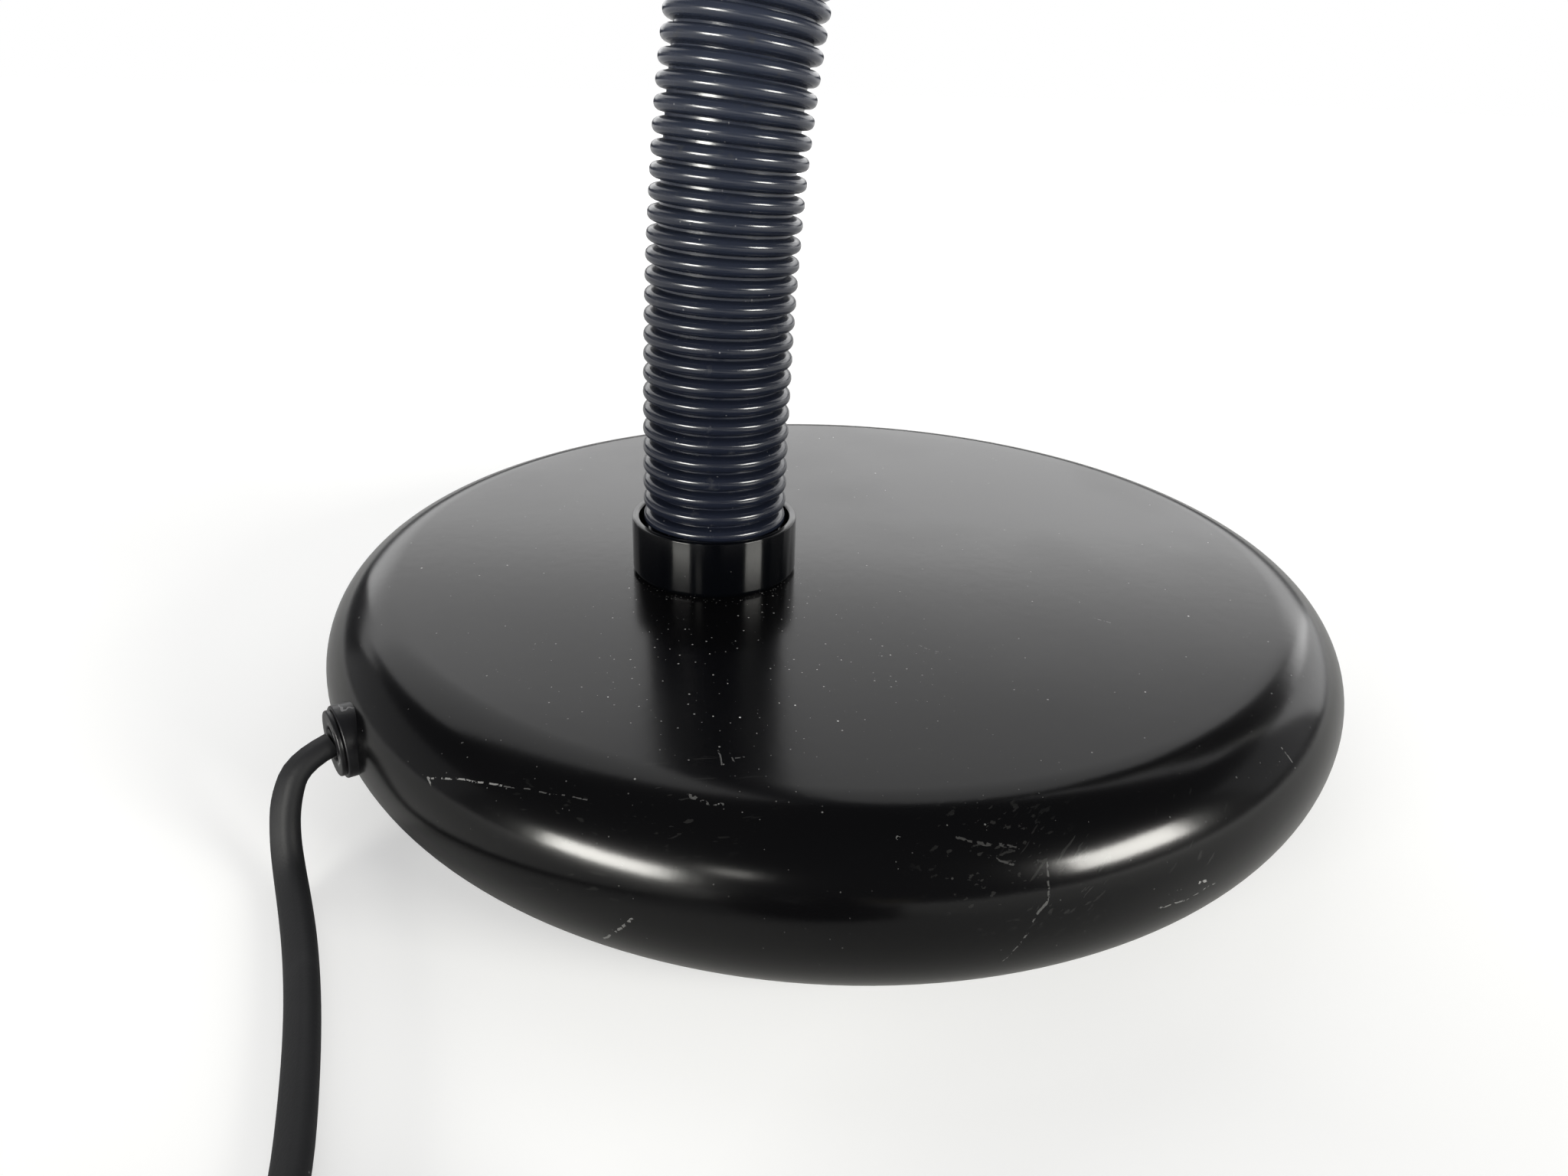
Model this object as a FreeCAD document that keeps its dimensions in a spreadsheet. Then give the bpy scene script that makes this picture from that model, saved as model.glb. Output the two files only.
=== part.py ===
import FreeCAD, Part
import math
import os
import re

import Sketcher

# Gooseneck desk lamp, in millimetres and degrees. The origin is the centre of the face that the lamp
# stands on, +Z is up and +X is the front, the way the neck bends.

SIZES = {
    # round foot
    "base_radius": 87.5,
    "base_height": 29.0,
    "base_waist": 16.8,
    "shell_wall": 0.9,
    "roll_radius": 3.3,
    "heel_turn": 60.0,
    "lip_inset": 16.5,
    "felt_thick": 1.2,
    "felt_inset": 11.5,
    "cover_thick": 1.2,
    "cover_gap": 0.2,
    "weight_thick": 14.0,
    "weight_gap": 1.0,
    "weight_chamfer": 3.0,
    "boss_radius": 5.0,
    "boss_inset": 35.5,
    "boss_count": 3,
    "screw_radius": 1.9,
    "screw_head": 3.4,
    "screw_length": 9.0,
    # clearances
    "fit_gap": 0.1,
    "thread_gap": 0.05,
    "hole_gap": 0.2,
    "joint_gap": 0.3,
    "tip_room": 1.0,
    # neck
    "foot_offset": 23.0,
    "neck_length": 340.0,
    "bend_start": 0.0192,
    "bend_growth": 0.00189,
    "sleeve_radius": 11.8,
    "rib_depth": 1.2,
    "rib_pitch": 3.01,
    "rib_width": 1.8,
    "sleeve_wall": 1.0,
    "core_gap": 0.4,
    "core_wall": 1.7,
    "first_hinge": 22.0,
    "tip_reach": 34.0,
    "link_count": 10,
    "joint_ball": 14.0,
    "lead_radius": 2.2,
    "lead_gap": 0.8,
    "lead_drop": 4.5,
    "lead_level": 3.5,
    "lead_clear": 1.5,
    "lead_rise": 2.5,
    # collar, ferrule, washer and nut at each end of the neck
    "collar_radius": 13.7,
    "collar_height": 9.5,
    "collar_floor": 1.5,
    "collar_gap": 0.5,
    "collar_chamfer": 0.4,
    "flange_thick": 2.0,
    "stud_radius": 5.0,
    "stud_bore": 3.6,
    "washer_radius": 8.5,
    "washer_thick": 1.0,
    "nut_across": 16.0,
    "nut_thick": 5.0,
    "nut_pocket": 11.0,
    "nut_ledge": 8.0,
    "stud_end": 1.5,
    # strain relief, mains cord, its coil, tie and plug
    "relief_angle": 190.0,
    "relief_height": 17.5,
    "relief_flange": 5.4,
    "relief_plate": 1.2,
    "relief_block": 4.9,
    "relief_block_thick": 0.8,
    "relief_neck": 4.0,
    "relief_barb": 4.7,
    "relief_barb_thick": 3.0,
    "relief_barb_gap": 1.8,
    "cord_radius": 2.4,
    "coil_x": -80.4,
    "coil_y": -143.0,
    "coil_radius": 29.0,
    "coil_width": 10.0,
    "coil_height": 17.0,
    "coil_corner": 2.0,
    "tie_thick": 0.7,
    "tie_width": 6.0,
    "plug_length": 34.0,
    "plug_width": 24.0,
    "plug_tail": 12.0,
    "plug_height": 15.0,
    "plug_setback": 17.6,
    "blade_length": 17.0,
    "blade_width": 6.4,
    "blade_thick": 1.5,
    "blade_spacing": 12.7,
    # shade
    "shade_wall": 0.9,
    "shade_neck": 26.0,
    "shade_shoulder": 5.0,
    "shade_neck_length": 46.0,
    "flare_radius": 8.0,
    "flare_turn": 65.0,
    "dome_radius": 28.0,
    "dome_turn": 22.0,
    "bell_radius": 400.0,
    "bell_turn": 10.4,
    "rim_radius": 1.6,
    "vent_count": 10,
    "vent_width": 3.0,
    "vent_length": 15.0,
    "vent_start": 28.0,
    # lampholder
    "holder_seat": 7.6,
    "holder_hub": 9.0,
    "holder_base": 16.0,
    "holder_radius": 19.0,
    "holder_floor": 31.0,
    "holder_length": 52.0,
    "holder_bore": 14.6,
    "screwshell_radius": 14.0,
    "screwshell_wall": 0.5,
    "screwshell_floor": 3.0,
    "screwshell_length": 19.0,
    "tongue_radius": 3.0,
    "tongue_height": 2.4,
    "tongue_foot": 2.5,
    "tongue_root": 1.5,
    # switch on the lampholder's side
    "switch_at": 23.5,
    "switch_radius": 5.5,
    "switch_inset": 2.1,
    "switch_back": 4.0,
    "bush_radius": 3.6,
    "bush_reach": 29.0,
    "shaft_radius": 1.9,
    "shaft_gap": 0.08,
    "shaft_reach": 35.0,
    "ring_nut_radius": 6.0,
    "ring_nut_thick": 2.0,
    "knob_radius": 6.5,
    "knob_length": 11.0,
    "knob_gap": 0.6,
    "knob_edge": 1.0,
    "knob_flutes": 12,
    "knob_flute": 0.9,
    "knob_flute_start": 2.0,
    # bulb
    "cap_radius": 13.1,
    "cap_length": 19.0,
    "cap_wall": 0.4,
    "tip_radius": 4.5,
    "tip_height": 2.5,
    "glass_wall": 0.8,
    "glass_neck": 12.4,
    "glass_neck_length": 22.0,
    "glass_radius": 30.0,
    "glass_throat": 28.0,
    "bulb_length": 108.0,
    "stem_radius": 4.0,
    "stem_foot": 8.0,
    "stem_length": 32.0,
}

doc = FreeCAD.newDocument("gooseneck_desk_lamp")
sheet = doc.addObject("Spreadsheet::Sheet", "Sizes")
for row, (alias, number) in enumerate(SIZES.items(), start=1):
    sheet.set(f"A{row}", alias)
    sheet.set(f"B{row}", str(number))
    sheet.setAlias(f"B{row}", alias)
doc.recompute()


def bound(formula):
    """The formula with each size's name pointing into the sheet."""
    return re.sub(r"[a-z_]+", lambda m: f"Sizes.{m[0]}" if m[0] in SIZES else m[0], str(formula))


def value(formula):
    """The formula's number, from the sheet."""
    return float(sheet.evalExpression(bound(formula)))


def count(formula):
    return int(round(value(formula)))


def vec(x=0.0, y=0.0, z=0.0):
    return FreeCAD.Vector(x, y, z)


X, Y, Z = vec(1, 0, 0), vec(0, 1, 0), vec(0, 0, 1)


def at(x=0.0, y=0.0, z=0.0):
    """A placement moved to a point given as numbers or formulas."""
    return FreeCAD.Placement(vec(value(x), value(y), value(z)), FreeCAD.Rotation())


def turned(axis, angle):
    return FreeCAD.Placement(vec(), FreeCAD.Rotation(axis, angle))


def around(radius, angle, height):
    """A placement on a circle about the foot's centre, its X pointing outwards."""
    return turned(Z, angle) * at(radius, 0, height)


def along(place):
    """The way that a placement's Z points."""
    return place.Rotation.multVec(Z)


PARTS = {}


def keep(node, thing):
    """The finished sub-part: its label names its file."""
    thing.Label = node
    PARTS[node] = thing
    return thing


# Sketched outlines and what is made from them

def arc_between(start, end, radius):
    """The arc from start to end, anticlockwise if the radius is positive and clockwise if not."""
    chord = end - start
    left = vec(-chord.y, chord.x).normalize()
    rise = math.sqrt(max(radius * radius - chord.Length ** 2 / 4, 0.0))
    centre = (start + end) * 0.5 + left * math.copysign(rise, radius)
    first, last = (start, end) if radius > 0 else (end, start)
    angles = [math.atan2((point - centre).y, (point - centre).x) for point in (first, last)]
    return Part.ArcOfCircle(Part.Circle(centre, Z, abs(radius)), *angles)


def outline(body, name, corners, arcs, plane, circles):
    """A closed outline through corners, pairs of formulas. arcs gives some edges a radius, negative for a
    clockwise turn. circles are holes: x, y and radius."""
    sketch = body.newObject("Sketcher::SketchObject", name)
    sketch.AttachmentSupport = [next(f for f in body.Origin.OriginFeatures if f.Role == plane)]
    sketch.MapMode = "FlatFace"

    def bind(kind, *where, formula):
        rule = sketch.addConstraint(Sketcher.Constraint(kind, *where, value(formula)))
        sketch.setExpression(f"Constraints[{rule}]", bound(formula))

    points = [vec(value(x), value(y)) for x, y in corners]
    heads = {}
    for i, start in enumerate(points):
        end = points[(i + 1) % len(points)]
        radius = value(arcs.get(i, 0))
        sketch.addGeometry(arc_between(start, end, radius) if radius else Part.LineSegment(start, end), False)
        heads[i] = (1, 2) if radius >= 0 else (2, 1)
    for i, (x, y) in enumerate(corners):
        before = (i - 1) % len(corners)
        sketch.addConstraint(Sketcher.Constraint("Coincident", before, heads[before][1], i, heads[i][0]))
        bind("DistanceX", -1, 1, i, heads[i][0], formula=x)
        bind("DistanceY", -1, 1, i, heads[i][0], formula=y)
    for i, radius in arcs.items():
        bind("Radius", i, formula=f"abs({radius})")
    for x, y, radius in circles:
        hole = sketch.addGeometry(Part.Circle(vec(value(x), value(y)), Z, value(radius)), False)
        bind("DistanceX", -1, 1, hole, 3, formula=x)
        bind("DistanceY", -1, 1, hole, 3, formula=y)
        bind("Radius", hole, formula=radius)
    return sketch


def lathe(name, corners, arcs=None, place=None):
    """A turned piece: the outline, radius and height, spun about its own Z."""
    body = doc.addObject("PartDesign::Body", name)
    sketch = outline(body, f"{name}_outline", corners, arcs or {}, "XZ_Plane", ())
    spin = body.newObject("PartDesign::Revolution", f"{name}_spin")
    spin.Profile = sketch
    spin.ReferenceAxis = (sketch, ["V_Axis"])
    spin.Angle = 360.0
    body.Tip = spin
    body.Placement = place or at()
    return body


def ring(name, inner, outer, low, high, place=None):
    return lathe(name, [(inner, low), (outer, low), (outer, high), (inner, high)], None, place)


def slab(name, corners, height, circles=(), place=None):
    """A flat piece: the outline, x and y, padded upwards."""
    body = doc.addObject("PartDesign::Body", name)
    sketch = outline(body, f"{name}_outline", corners, {}, "XY_Plane", circles)
    pad = body.newObject("PartDesign::Pad", f"{name}_pad")
    pad.Profile = sketch
    pad.setExpression("Length", bound(height))
    body.Tip = pad
    body.Placement = place or at()
    return body


def rod(name, radius, length, place):
    """A round bar or drill, up its own Z."""
    bar = doc.addObject("Part::Cylinder", name)
    bar.setExpression("Radius", bound(radius))
    bar.setExpression("Height", bound(length))
    bar.Placement = place
    return bar


def block(name, length, width, height, place):
    box = doc.addObject("Part::Box", name)
    box.setExpression("Length", bound(length))
    box.setExpression("Width", bound(width))
    box.setExpression("Height", bound(height))
    box.Placement = place
    return box


def joined(name, things):
    fuse = doc.addObject("Part::MultiFuse", name)
    fuse.Shapes = things
    return fuse


def grouped(name, things):
    group = doc.addObject("Part::Compound", name)
    group.Links = things
    return group


def shaped(name, shape):
    thing = doc.addObject("Part::Feature", name)
    thing.Shape = shape
    return thing


def cut(name, base, tools):
    """The base with every tool taken out of it. A cut that takes nothing is a fault."""
    result = base
    for i, tool in enumerate(tools, start=1):
        step = doc.addObject("Part::Cut", f"{name}_cut_{i}")
        step.Base, step.Tool = result, tool
        doc.recompute()
        if not step.Shape.Volume < result.Shape.Volume - 1e-4:
            raise RuntimeError(f"{name}: cut {i} takes nothing away")
        result = step
    return result


# The neck's line: arcs in the XZ plane that meet without a kink. Each runs from one joint's split to the
# next, as curved as the neck is at its middle, and the neck bends more and more towards its top.

LINKS = count("link_count")
LINK_LENGTH = value("neck_length - tip_reach - first_hinge") / LINKS
HINGES = [value("first_hinge") + i * LINK_LENGTH for i in range(LINKS + 1)]
MIDDLES = [hinge + LINK_LENGTH / 2 for hinge in HINGES]
NECK_LENGTH = value("neck_length")


def on_arc(arc, station):
    """The point and tilt at a station of one arc: start station, start point, start tilt, bend."""
    start, point, tilt, bend = arc
    end_tilt = tilt + bend * (station - start)
    first, last = math.radians(tilt), math.radians(end_tilt)
    step = vec(math.cos(first) - math.cos(last), 0, math.sin(last) - math.sin(first))
    return point + step * (math.degrees(1) / bend), end_tilt


def neck_arcs():
    marks = [0.0] + [hinge + value("joint_ball") for hinge in HINGES] + [NECK_LENGTH]
    point, tilt, arcs = vec(-value("foot_offset"), 0, value("base_height")), 0.0, []
    for start, end in zip(marks, marks[1:]):
        arcs.append((start, point, tilt, value("bend_start") + value("bend_growth") * (start + end) / 2))
        point, tilt = on_arc(arcs[-1], end)
    return arcs


ARCS = neck_arcs()


def neck_at(station):
    """A placement on the neck's line, its Z running along the neck."""
    arc = [each for each in ARCS if each[0] <= max(station, 0.0)][-1]
    point, tilt = on_arc(arc, station)
    return FreeCAD.Placement(point, FreeCAD.Rotation(Y, tilt))


def hoop(station, radius):
    circle = Part.makeCircle(radius)
    circle.Placement = neck_at(station)
    return circle


def strips(radius, start, end):
    """The round skin between two stations, one face for each arc."""
    marks = [start] + [arc[0] for arc in ARCS if start + 1e-6 < arc[0] < end - 1e-6] + [end]
    faces = []
    for low, high in zip(marks, marks[1:]):
        bend = [arc for arc in ARCS if arc[0] <= max(low, 0.0) + 1e-6][-1][3]
        centre = neck_at(low).multVec(X * (math.degrees(1) / bend))
        faces.append(hoop(low, radius).revolve(centre, Y, bend * (high - low)))
    return faces


def bent_lathe(corners):
    """A turned piece that follows the neck. Its closed outline is pairs of station and radius."""
    faces = []
    for (station, radius), (end, other) in zip(corners, corners[1:] + corners[:1]):
        if station == end:
            hoops = [hoop(station, each) for each in sorted((radius, other), reverse=True) if each > 0]
            faces.append(Part.makeFace([Part.Wire(each) for each in hoops], "Part::FaceMakerBullseye"))
        elif radius > 0:
            faces += strips(radius, min(station, end), max(station, end))
    skin = Part.Compound(faces)
    skin.sewShape()
    solid = Part.Solid(skin.Shells[0])
    if solid.Volume < 0:
        solid.reverse()
    return solid


def bent_rod(radius, start, end):
    return bent_lathe([(start, 0), (start, radius), (end, radius), (end, 0)])


def ball(hinge, radius):
    return Part.makeSphere(value(radius), neck_at(hinge).Base)


def beyond(hinge):
    """All that lies past a hinge but outside its ball."""
    place, reach = neck_at(hinge), 3 * value("joint_ball")
    return Part.makeCylinder(reach, reach, place.Base, along(place)).cut(ball(hinge, "joint_ball"))


ROOT = "(sleeve_radius - rib_depth)"
CORE = f"({ROOT} - sleeve_wall - core_gap)"


def rib_stations(start, end):
    """The low side of each rib between two stations, counted from the sleeve's foot."""
    pitch, first = value("rib_pitch"), value("collar_floor + rib_pitch / 2")
    ribs = [first + i * pitch for i in range(int(NECK_LENGTH / pitch))]
    return [rib for rib in ribs if start < rib and rib + value("rib_width") < end]


def sleeve_outline(start, end):
    root, crest = value(ROOT), value("sleeve_radius")
    corners = [(start, root)]
    for rib in rib_stations(start, end):
        top = rib + value("rib_width")
        corners += [(rib, root), (rib, crest), (top, crest), (top, root)]
    bore = value(f"{ROOT} - sleeve_wall")
    return corners + [(end, root), (end, bore), (start, bore)]


def core_outline(start, end):
    outer, inner = value(CORE), value(f"{CORE} - core_wall")
    return [(start, outer), (end, outer), (end, inner), (start, inner)]


def jointed(draw, below, above):
    """One stretch of the neck. Where it ends at a hinge, its end is hollowed below or rounded above, so that
    neighbours turn on one ball; elsewhere it ends flat. draw gives its outline."""
    start = below if below not in HINGES else below + value("joint_ball") / 3
    end = above if above not in HINGES else above + value("joint_ball") + value("joint_gap")
    solid = bent_lathe(draw(start, end))
    if below in HINGES:
        solid = solid.cut(ball(below, "joint_ball + joint_gap"))
    if above in HINGES:
        solid = solid.cut(beyond(above))
    return max(solid.Solids, key=lambda each: each.Volume)


def make_neck():
    foot, tip = value("collar_floor"), NECK_LENGTH - value("collar_floor + hole_gap")
    keep("sleeve_foot", shaped("sleeve_foot", jointed(sleeve_outline, foot, HINGES[0])))
    for i, (below, above) in enumerate(zip(HINGES, HINGES[1:]), start=1):
        for kind, draw in (("sleeve", sleeve_outline), ("core", core_outline)):
            node = f"{kind}_link_{i:02d}"
            keep(node, shaped(node, jointed(draw, below, above)))
    keep("sleeve_tip", shaped("sleeve_tip", jointed(sleeve_outline, HINGES[-1], tip)))
    half_gap = value("lead_gap") / 2
    for i in range(0, LINKS, 2):
        node = f"neck_lead_{i // 2 + 1}"
        lead = bent_rod(value("lead_radius"), MIDDLES[i] + half_gap, MIDDLES[i + 2] - half_gap)
        keep(node, shaped(node, lead))


# What fastens the neck's ends. The head's Z runs out along the shade, away from the neck.

FOOT = at("-foot_offset", 0, "base_height")
HEAD = neck_at(NECK_LENGTH)


def flipped(place, depth=0):
    """Upside down, and depth down the placement's own Z."""
    return place * at(0, 0, f"-({depth})") * turned(X, 180)


def ferrule(name, place, reach, start, end):
    """A metal end fitting: the tube that grips the core, its flange and a hollow threaded stud, which goes
    reach past the face that it is bolted to."""
    stud = lathe(f"{name}_stud", [
        ("stud_bore", f"-({reach})"),
        ("stud_radius", f"-({reach})"),
        ("stud_radius", "collar_floor"),
        (f"{CORE} - fit_gap", "collar_floor"),
        (f"{CORE} - fit_gap", "collar_floor + flange_thick"),
        ("stud_bore", "collar_floor + flange_thick"),
    ], None, place)
    socket = shaped(f"{name}_socket", jointed(core_outline, start, end))
    keep(name, joined(name, [stud, socket]))


def collar(name, place):
    keep(name, lathe(f"{name}_turned", [
        ("stud_radius + hole_gap", "0"),
        ("collar_radius - collar_chamfer", "0"),
        ("collar_radius", "collar_chamfer"),
        ("collar_radius", "collar_height"),
        ("sleeve_radius + collar_gap", "collar_height"),
        ("sleeve_radius + collar_gap", "collar_floor"),
        ("stud_radius + hole_gap", "collar_floor"),
    ], None, place))


def washer(name, place):
    keep(name, ring(f"{name}_ring", "stud_radius + hole_gap", "washer_radius", "0", "washer_thick", place))


def nut(name, place):
    side = "nut_across / sqrt(3)"
    corners = [(f"{side} * cos({60 * i})", f"{side} * sin({60 * i})") for i in range(6)]
    keep(name, slab(f"{name}_hex", corners, "nut_thick", [("0", "0", "stud_radius + thread_gap")], place))


def make_ends():
    ledge = "shell_wall + nut_ledge"
    grip = value("collar_floor + flange_thick / 2")
    collar("neck_collar", FOOT)
    ferrule("neck_ferrule", FOOT, f"{ledge} + washer_thick + nut_thick + stud_end", grip, HINGES[0])
    washer("ferrule_washer", flipped(FOOT, ledge))
    nut("ferrule_nut", flipped(FOOT, f"{ledge} + washer_thick"))
    collar("head_collar", flipped(HEAD))
    ferrule("head_ferrule", flipped(HEAD), "holder_base", HINGES[-1], NECK_LENGTH - grip)
    washer("head_washer", HEAD * at(0, 0, "shade_wall"))
    nut("head_nut", HEAD * at(0, 0, "shade_wall + washer_thick"))


# The round foot: a pressed shell, a cast weight that the neck's nut clamps to it, and a cover under both

EDGE = "(base_height - base_waist)"
HEEL = "((base_waist - felt_thick - roll_radius * (1 - sin(heel_turn))) / sin(heel_turn))"
LIP = "(base_radius - lip_inset)"
WEIGHT = f"({LIP} - weight_gap)"
COVER_TOP = "(felt_thick + cover_thick)"
WEIGHT_TOP = "(base_height - shell_wall)"
WEIGHT_LOW = f"({WEIGHT_TOP} - weight_thick)"


def shell_path(inset):
    """The shell's line from the middle of its top to its lip, inset from the outer face: radius, height."""
    return [
        ("0", f"base_height - {inset}"),
        (f"base_radius - {EDGE}", f"base_height - {inset}"),
        (f"base_radius - {inset}", "base_waist"),
        (
            f"base_radius - {HEEL} + ({HEEL} - {inset}) * cos(heel_turn)",
            f"base_waist - ({HEEL} - {inset}) * sin(heel_turn)",
        ),
        (f"base_radius - {HEEL} + ({HEEL} - roll_radius) * cos(heel_turn)", f"felt_thick + {inset}"),
    ]


def make_shell():
    """The shell, and the solid form inside its outer face for what seats on it."""
    outside, inside = shell_path("0"), shell_path("shell_wall")
    lip = [(LIP, "felt_thick"), (LIP, "felt_thick + shell_wall")]
    bends = {1: f"-{EDGE}", 2: f"-{HEEL}", 3: "-roll_radius"}
    inner_bends = {
        7: "roll_radius - shell_wall",
        8: f"{HEEL} - shell_wall",
        9: f"{EDGE} - shell_wall",
    }
    shell = lathe("shell_spun", outside + lip + inside[::-1], {**bends, **inner_bends})
    neck_hole = rod("neck_hole", "stud_radius + hole_gap", "4 * shell_wall",
                    FOOT * at(0, 0, "-2 * shell_wall"))
    relief_hole = rod("relief_hole", "relief_neck + hole_gap", "base_radius / 4",
                      relief_place("-base_radius / 8"))
    keep("base_shell", cut("base_shell", shell, [neck_hole, relief_hole]))
    return lathe("shell_form", outside + [("0", "felt_thick")], bends)


def boss_places(height):
    turns = count("boss_count")
    return [around("base_radius - boss_inset", 360 / turns * i, height) for i in range(turns)]


def make_weight():
    disc = lathe("weight_disc", [
        ("0", WEIGHT_LOW),
        (WEIGHT, WEIGHT_LOW),
        (WEIGHT, f"{WEIGHT_TOP} - weight_chamfer"),
        (f"{WEIGHT} - weight_chamfer", WEIGHT_TOP),
        ("0", WEIGHT_TOP),
    ])
    reach = f"{WEIGHT_TOP} - weight_thick / 2 - {COVER_TOP}"
    bosses = [
        rod(f"boss_{i}", "boss_radius", reach, place)
        for i, place in enumerate(boss_places(COVER_TOP), start=1)
    ]
    holes = [
        rod(f"boss_hole_{i}", "screw_radius + thread_gap", "screw_length + tip_room", place)
        for i, place in enumerate(boss_places("felt_thick"), start=1)
    ]
    under = FOOT * at(0, 0, "-(shell_wall + weight_thick + tip_room)")
    holes.append(rod("weight_stud_hole", "stud_radius + 2 * hole_gap", "weight_thick + 2 * tip_room", under))
    holes.append(rod("weight_nut_pocket", "nut_pocket", "weight_thick + tip_room - nut_ledge", under))
    keep("base_weight", cut("base_weight", joined("weight_cast", [disc] + bosses), holes))


def make_cover():
    disc = ring("cover_disc", "0", f"{LIP} - cover_gap", "felt_thick", COVER_TOP)
    holes = [
        rod(f"cover_hole_{i}", "screw_head + fit_gap", "2 * cover_thick", place)
        for i, place in enumerate(boss_places("felt_thick - cover_thick / 2"), start=1)
    ]
    keep("base_cover", cut("base_cover", disc, holes))
    keep("base_felt", ring("felt_disc", "0", "base_radius - felt_inset", "0", "felt_thick"))
    screws = [
        lathe(f"cover_screw_{i}", [
            ("0", "0"),
            ("screw_head", "0"),
            ("screw_head", "cover_thick"),
            ("screw_radius", "cover_thick"),
            ("screw_radius", "screw_length"),
            ("0", "screw_length"),
        ], None, place)
        for i, place in enumerate(boss_places("felt_thick"), start=1)
    ]
    keep("cover_screws", grouped("cover_screws", screws))


# Strain relief, mains cord, its coil and its plug

def relief_place(out=0):
    """A placement on the cord's way out of the foot, out from its rim, whose Z points outwards."""
    return around(f"base_radius + {out}", value("relief_angle"), "relief_height") * turned(Y, 90)


RELIEF_OUT = "relief_plate + relief_block_thick"


def make_relief(form):
    """A two-plate bushing, moulded to the curve of the rim, with a barbed neck inside."""
    def sleeve(name, radius, low, high):
        return ring(name, "lead_radius + fit_gap", radius, low, high, relief_place())

    plate = sleeve("relief_plate_disc", "relief_flange", "-base_radius / 20", "relief_plate")
    seated = cut("relief_seated", plate, [form])
    clamp = sleeve("relief_block_disc", "relief_block", "relief_plate", RELIEF_OUT)
    barb_top = "-(shell_wall + relief_barb_gap)"
    barb_low = f"{barb_top} - relief_barb_thick"
    neck = sleeve("relief_neck_disc", "relief_neck", barb_low, "relief_plate")
    barb = sleeve("relief_barb_disc", "relief_barb", barb_low, barb_top)
    keep("strain_relief", joined("strain_relief", [seated, clamp, neck, barb]))


def rounded_route(name, points, radius):
    """A round cord: straight runs joined by tangent arcs, each as large as its two runs allow."""
    edges, radii, here = [], [], points[0]
    for before, corner, after in zip(points, points[1:], points[2:]):
        into, out = corner - before, after - corner
        half_turn = into.getAngle(out) / 2
        trim = 0.45 * min(into.Length, out.Length)
        bend = trim / math.tan(half_turn)
        radii.append(bend)
        into.normalize()
        out.normalize()
        start, end = corner - into * trim, corner + out * trim
        middle = corner + (out - into).normalize() * (bend / math.cos(half_turn) - bend)
        edges += [Part.LineSegment(here, start).toShape(), Part.Arc(start, middle, end).toShape()]
        here = end
    edges.append(Part.LineSegment(here, points[-1]).toShape())
    wire = Part.Wire(edges)
    section = Part.Wire(Part.makeCircle(radius, points[0], points[1] - points[0]))
    solid = wire.makePipeShell([section], True, False, 2)
    share = solid.Volume / (math.pi * radius ** 2 * wire.Length)
    print(f"{name}: {wire.Length:.0f} mm, radii", *(f"{bend:.0f}" for bend in radii), f"volume share {share:.4f}")
    if abs(share - 1) > 0.01:
        raise RuntimeError(f"{name}: its volume doesn't match its length")
    return keep(name, shaped(name, solid))


# Where the mains cord lies: down from the strain relief, along the table and into its coil
CORD_POINTS = [
    (-92.8, -16.7, 16.4),
    (-95.3, -18.6, 11.9),
    (-96.2, -20.4, 6.8),
    (-96.3, -23.9, 3.2),
    (-96.1, -29.5, 2.45),
    (-95.9, -38.5, 2.45),
    (-96.2, -49.5, 2.45),
    (-97.2, -61.5, 2.45),
    (-98.9, -75.0, 2.45),
    (-102.6, -89.0, 2.45),
    (-106.9, -103.5, 2.5),
    (-109.2, -118.0, 3.2),
    (-109.4, -131.0, 4.4),
]

COIL_FLOOR = "(tie_thick + joint_gap)"
COIL_TOP = f"({COIL_FLOOR} + coil_height)"
COIL_INNER = "(coil_radius - coil_width / 2)"
COIL_OUTER = "(coil_radius + coil_width / 2)"


def make_cord():
    route = [relief_place(RELIEF_OUT).Base] + [vec(*point) for point in CORD_POINTS]
    rounded_route("mains_cord", route, value("cord_radius"))


def make_coil():
    corner, centre = "coil_corner", at("coil_x", "coil_y", 0)
    keep("cord_coil", lathe("coil_turns", [
        (f"{COIL_INNER} + {corner}", COIL_FLOOR),
        (f"{COIL_OUTER} - {corner}", COIL_FLOOR),
        (COIL_OUTER, f"{COIL_FLOOR} + {corner}"),
        (COIL_OUTER, f"{COIL_TOP} - {corner}"),
        (f"{COIL_OUTER} - {corner}", COIL_TOP),
        (f"{COIL_INNER} + {corner}", COIL_TOP),
        (COIL_INNER, f"{COIL_TOP} - {corner}"),
        (COIL_INNER, f"{COIL_FLOOR} + {corner}"),
    ], {i: corner for i in (1, 3, 5, 7)}, centre))
    band = "(joint_gap + tie_thick)"
    outside = block("tie_outside", f"coil_width + 2 * {band}", "tie_width", f"{COIL_TOP} + {band}",
                    centre * at(f"{COIL_INNER} - {band}", "-tie_width / 2", 0))
    inside = block("tie_inside", "coil_width + 2 * joint_gap", "2 * tie_width", "coil_height + 2 * joint_gap",
                   centre * at(f"{COIL_INNER} - joint_gap", "-tie_width", "tie_thick"))
    keep("cord_tie", cut("cord_tie", outside, [inside]))


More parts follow.
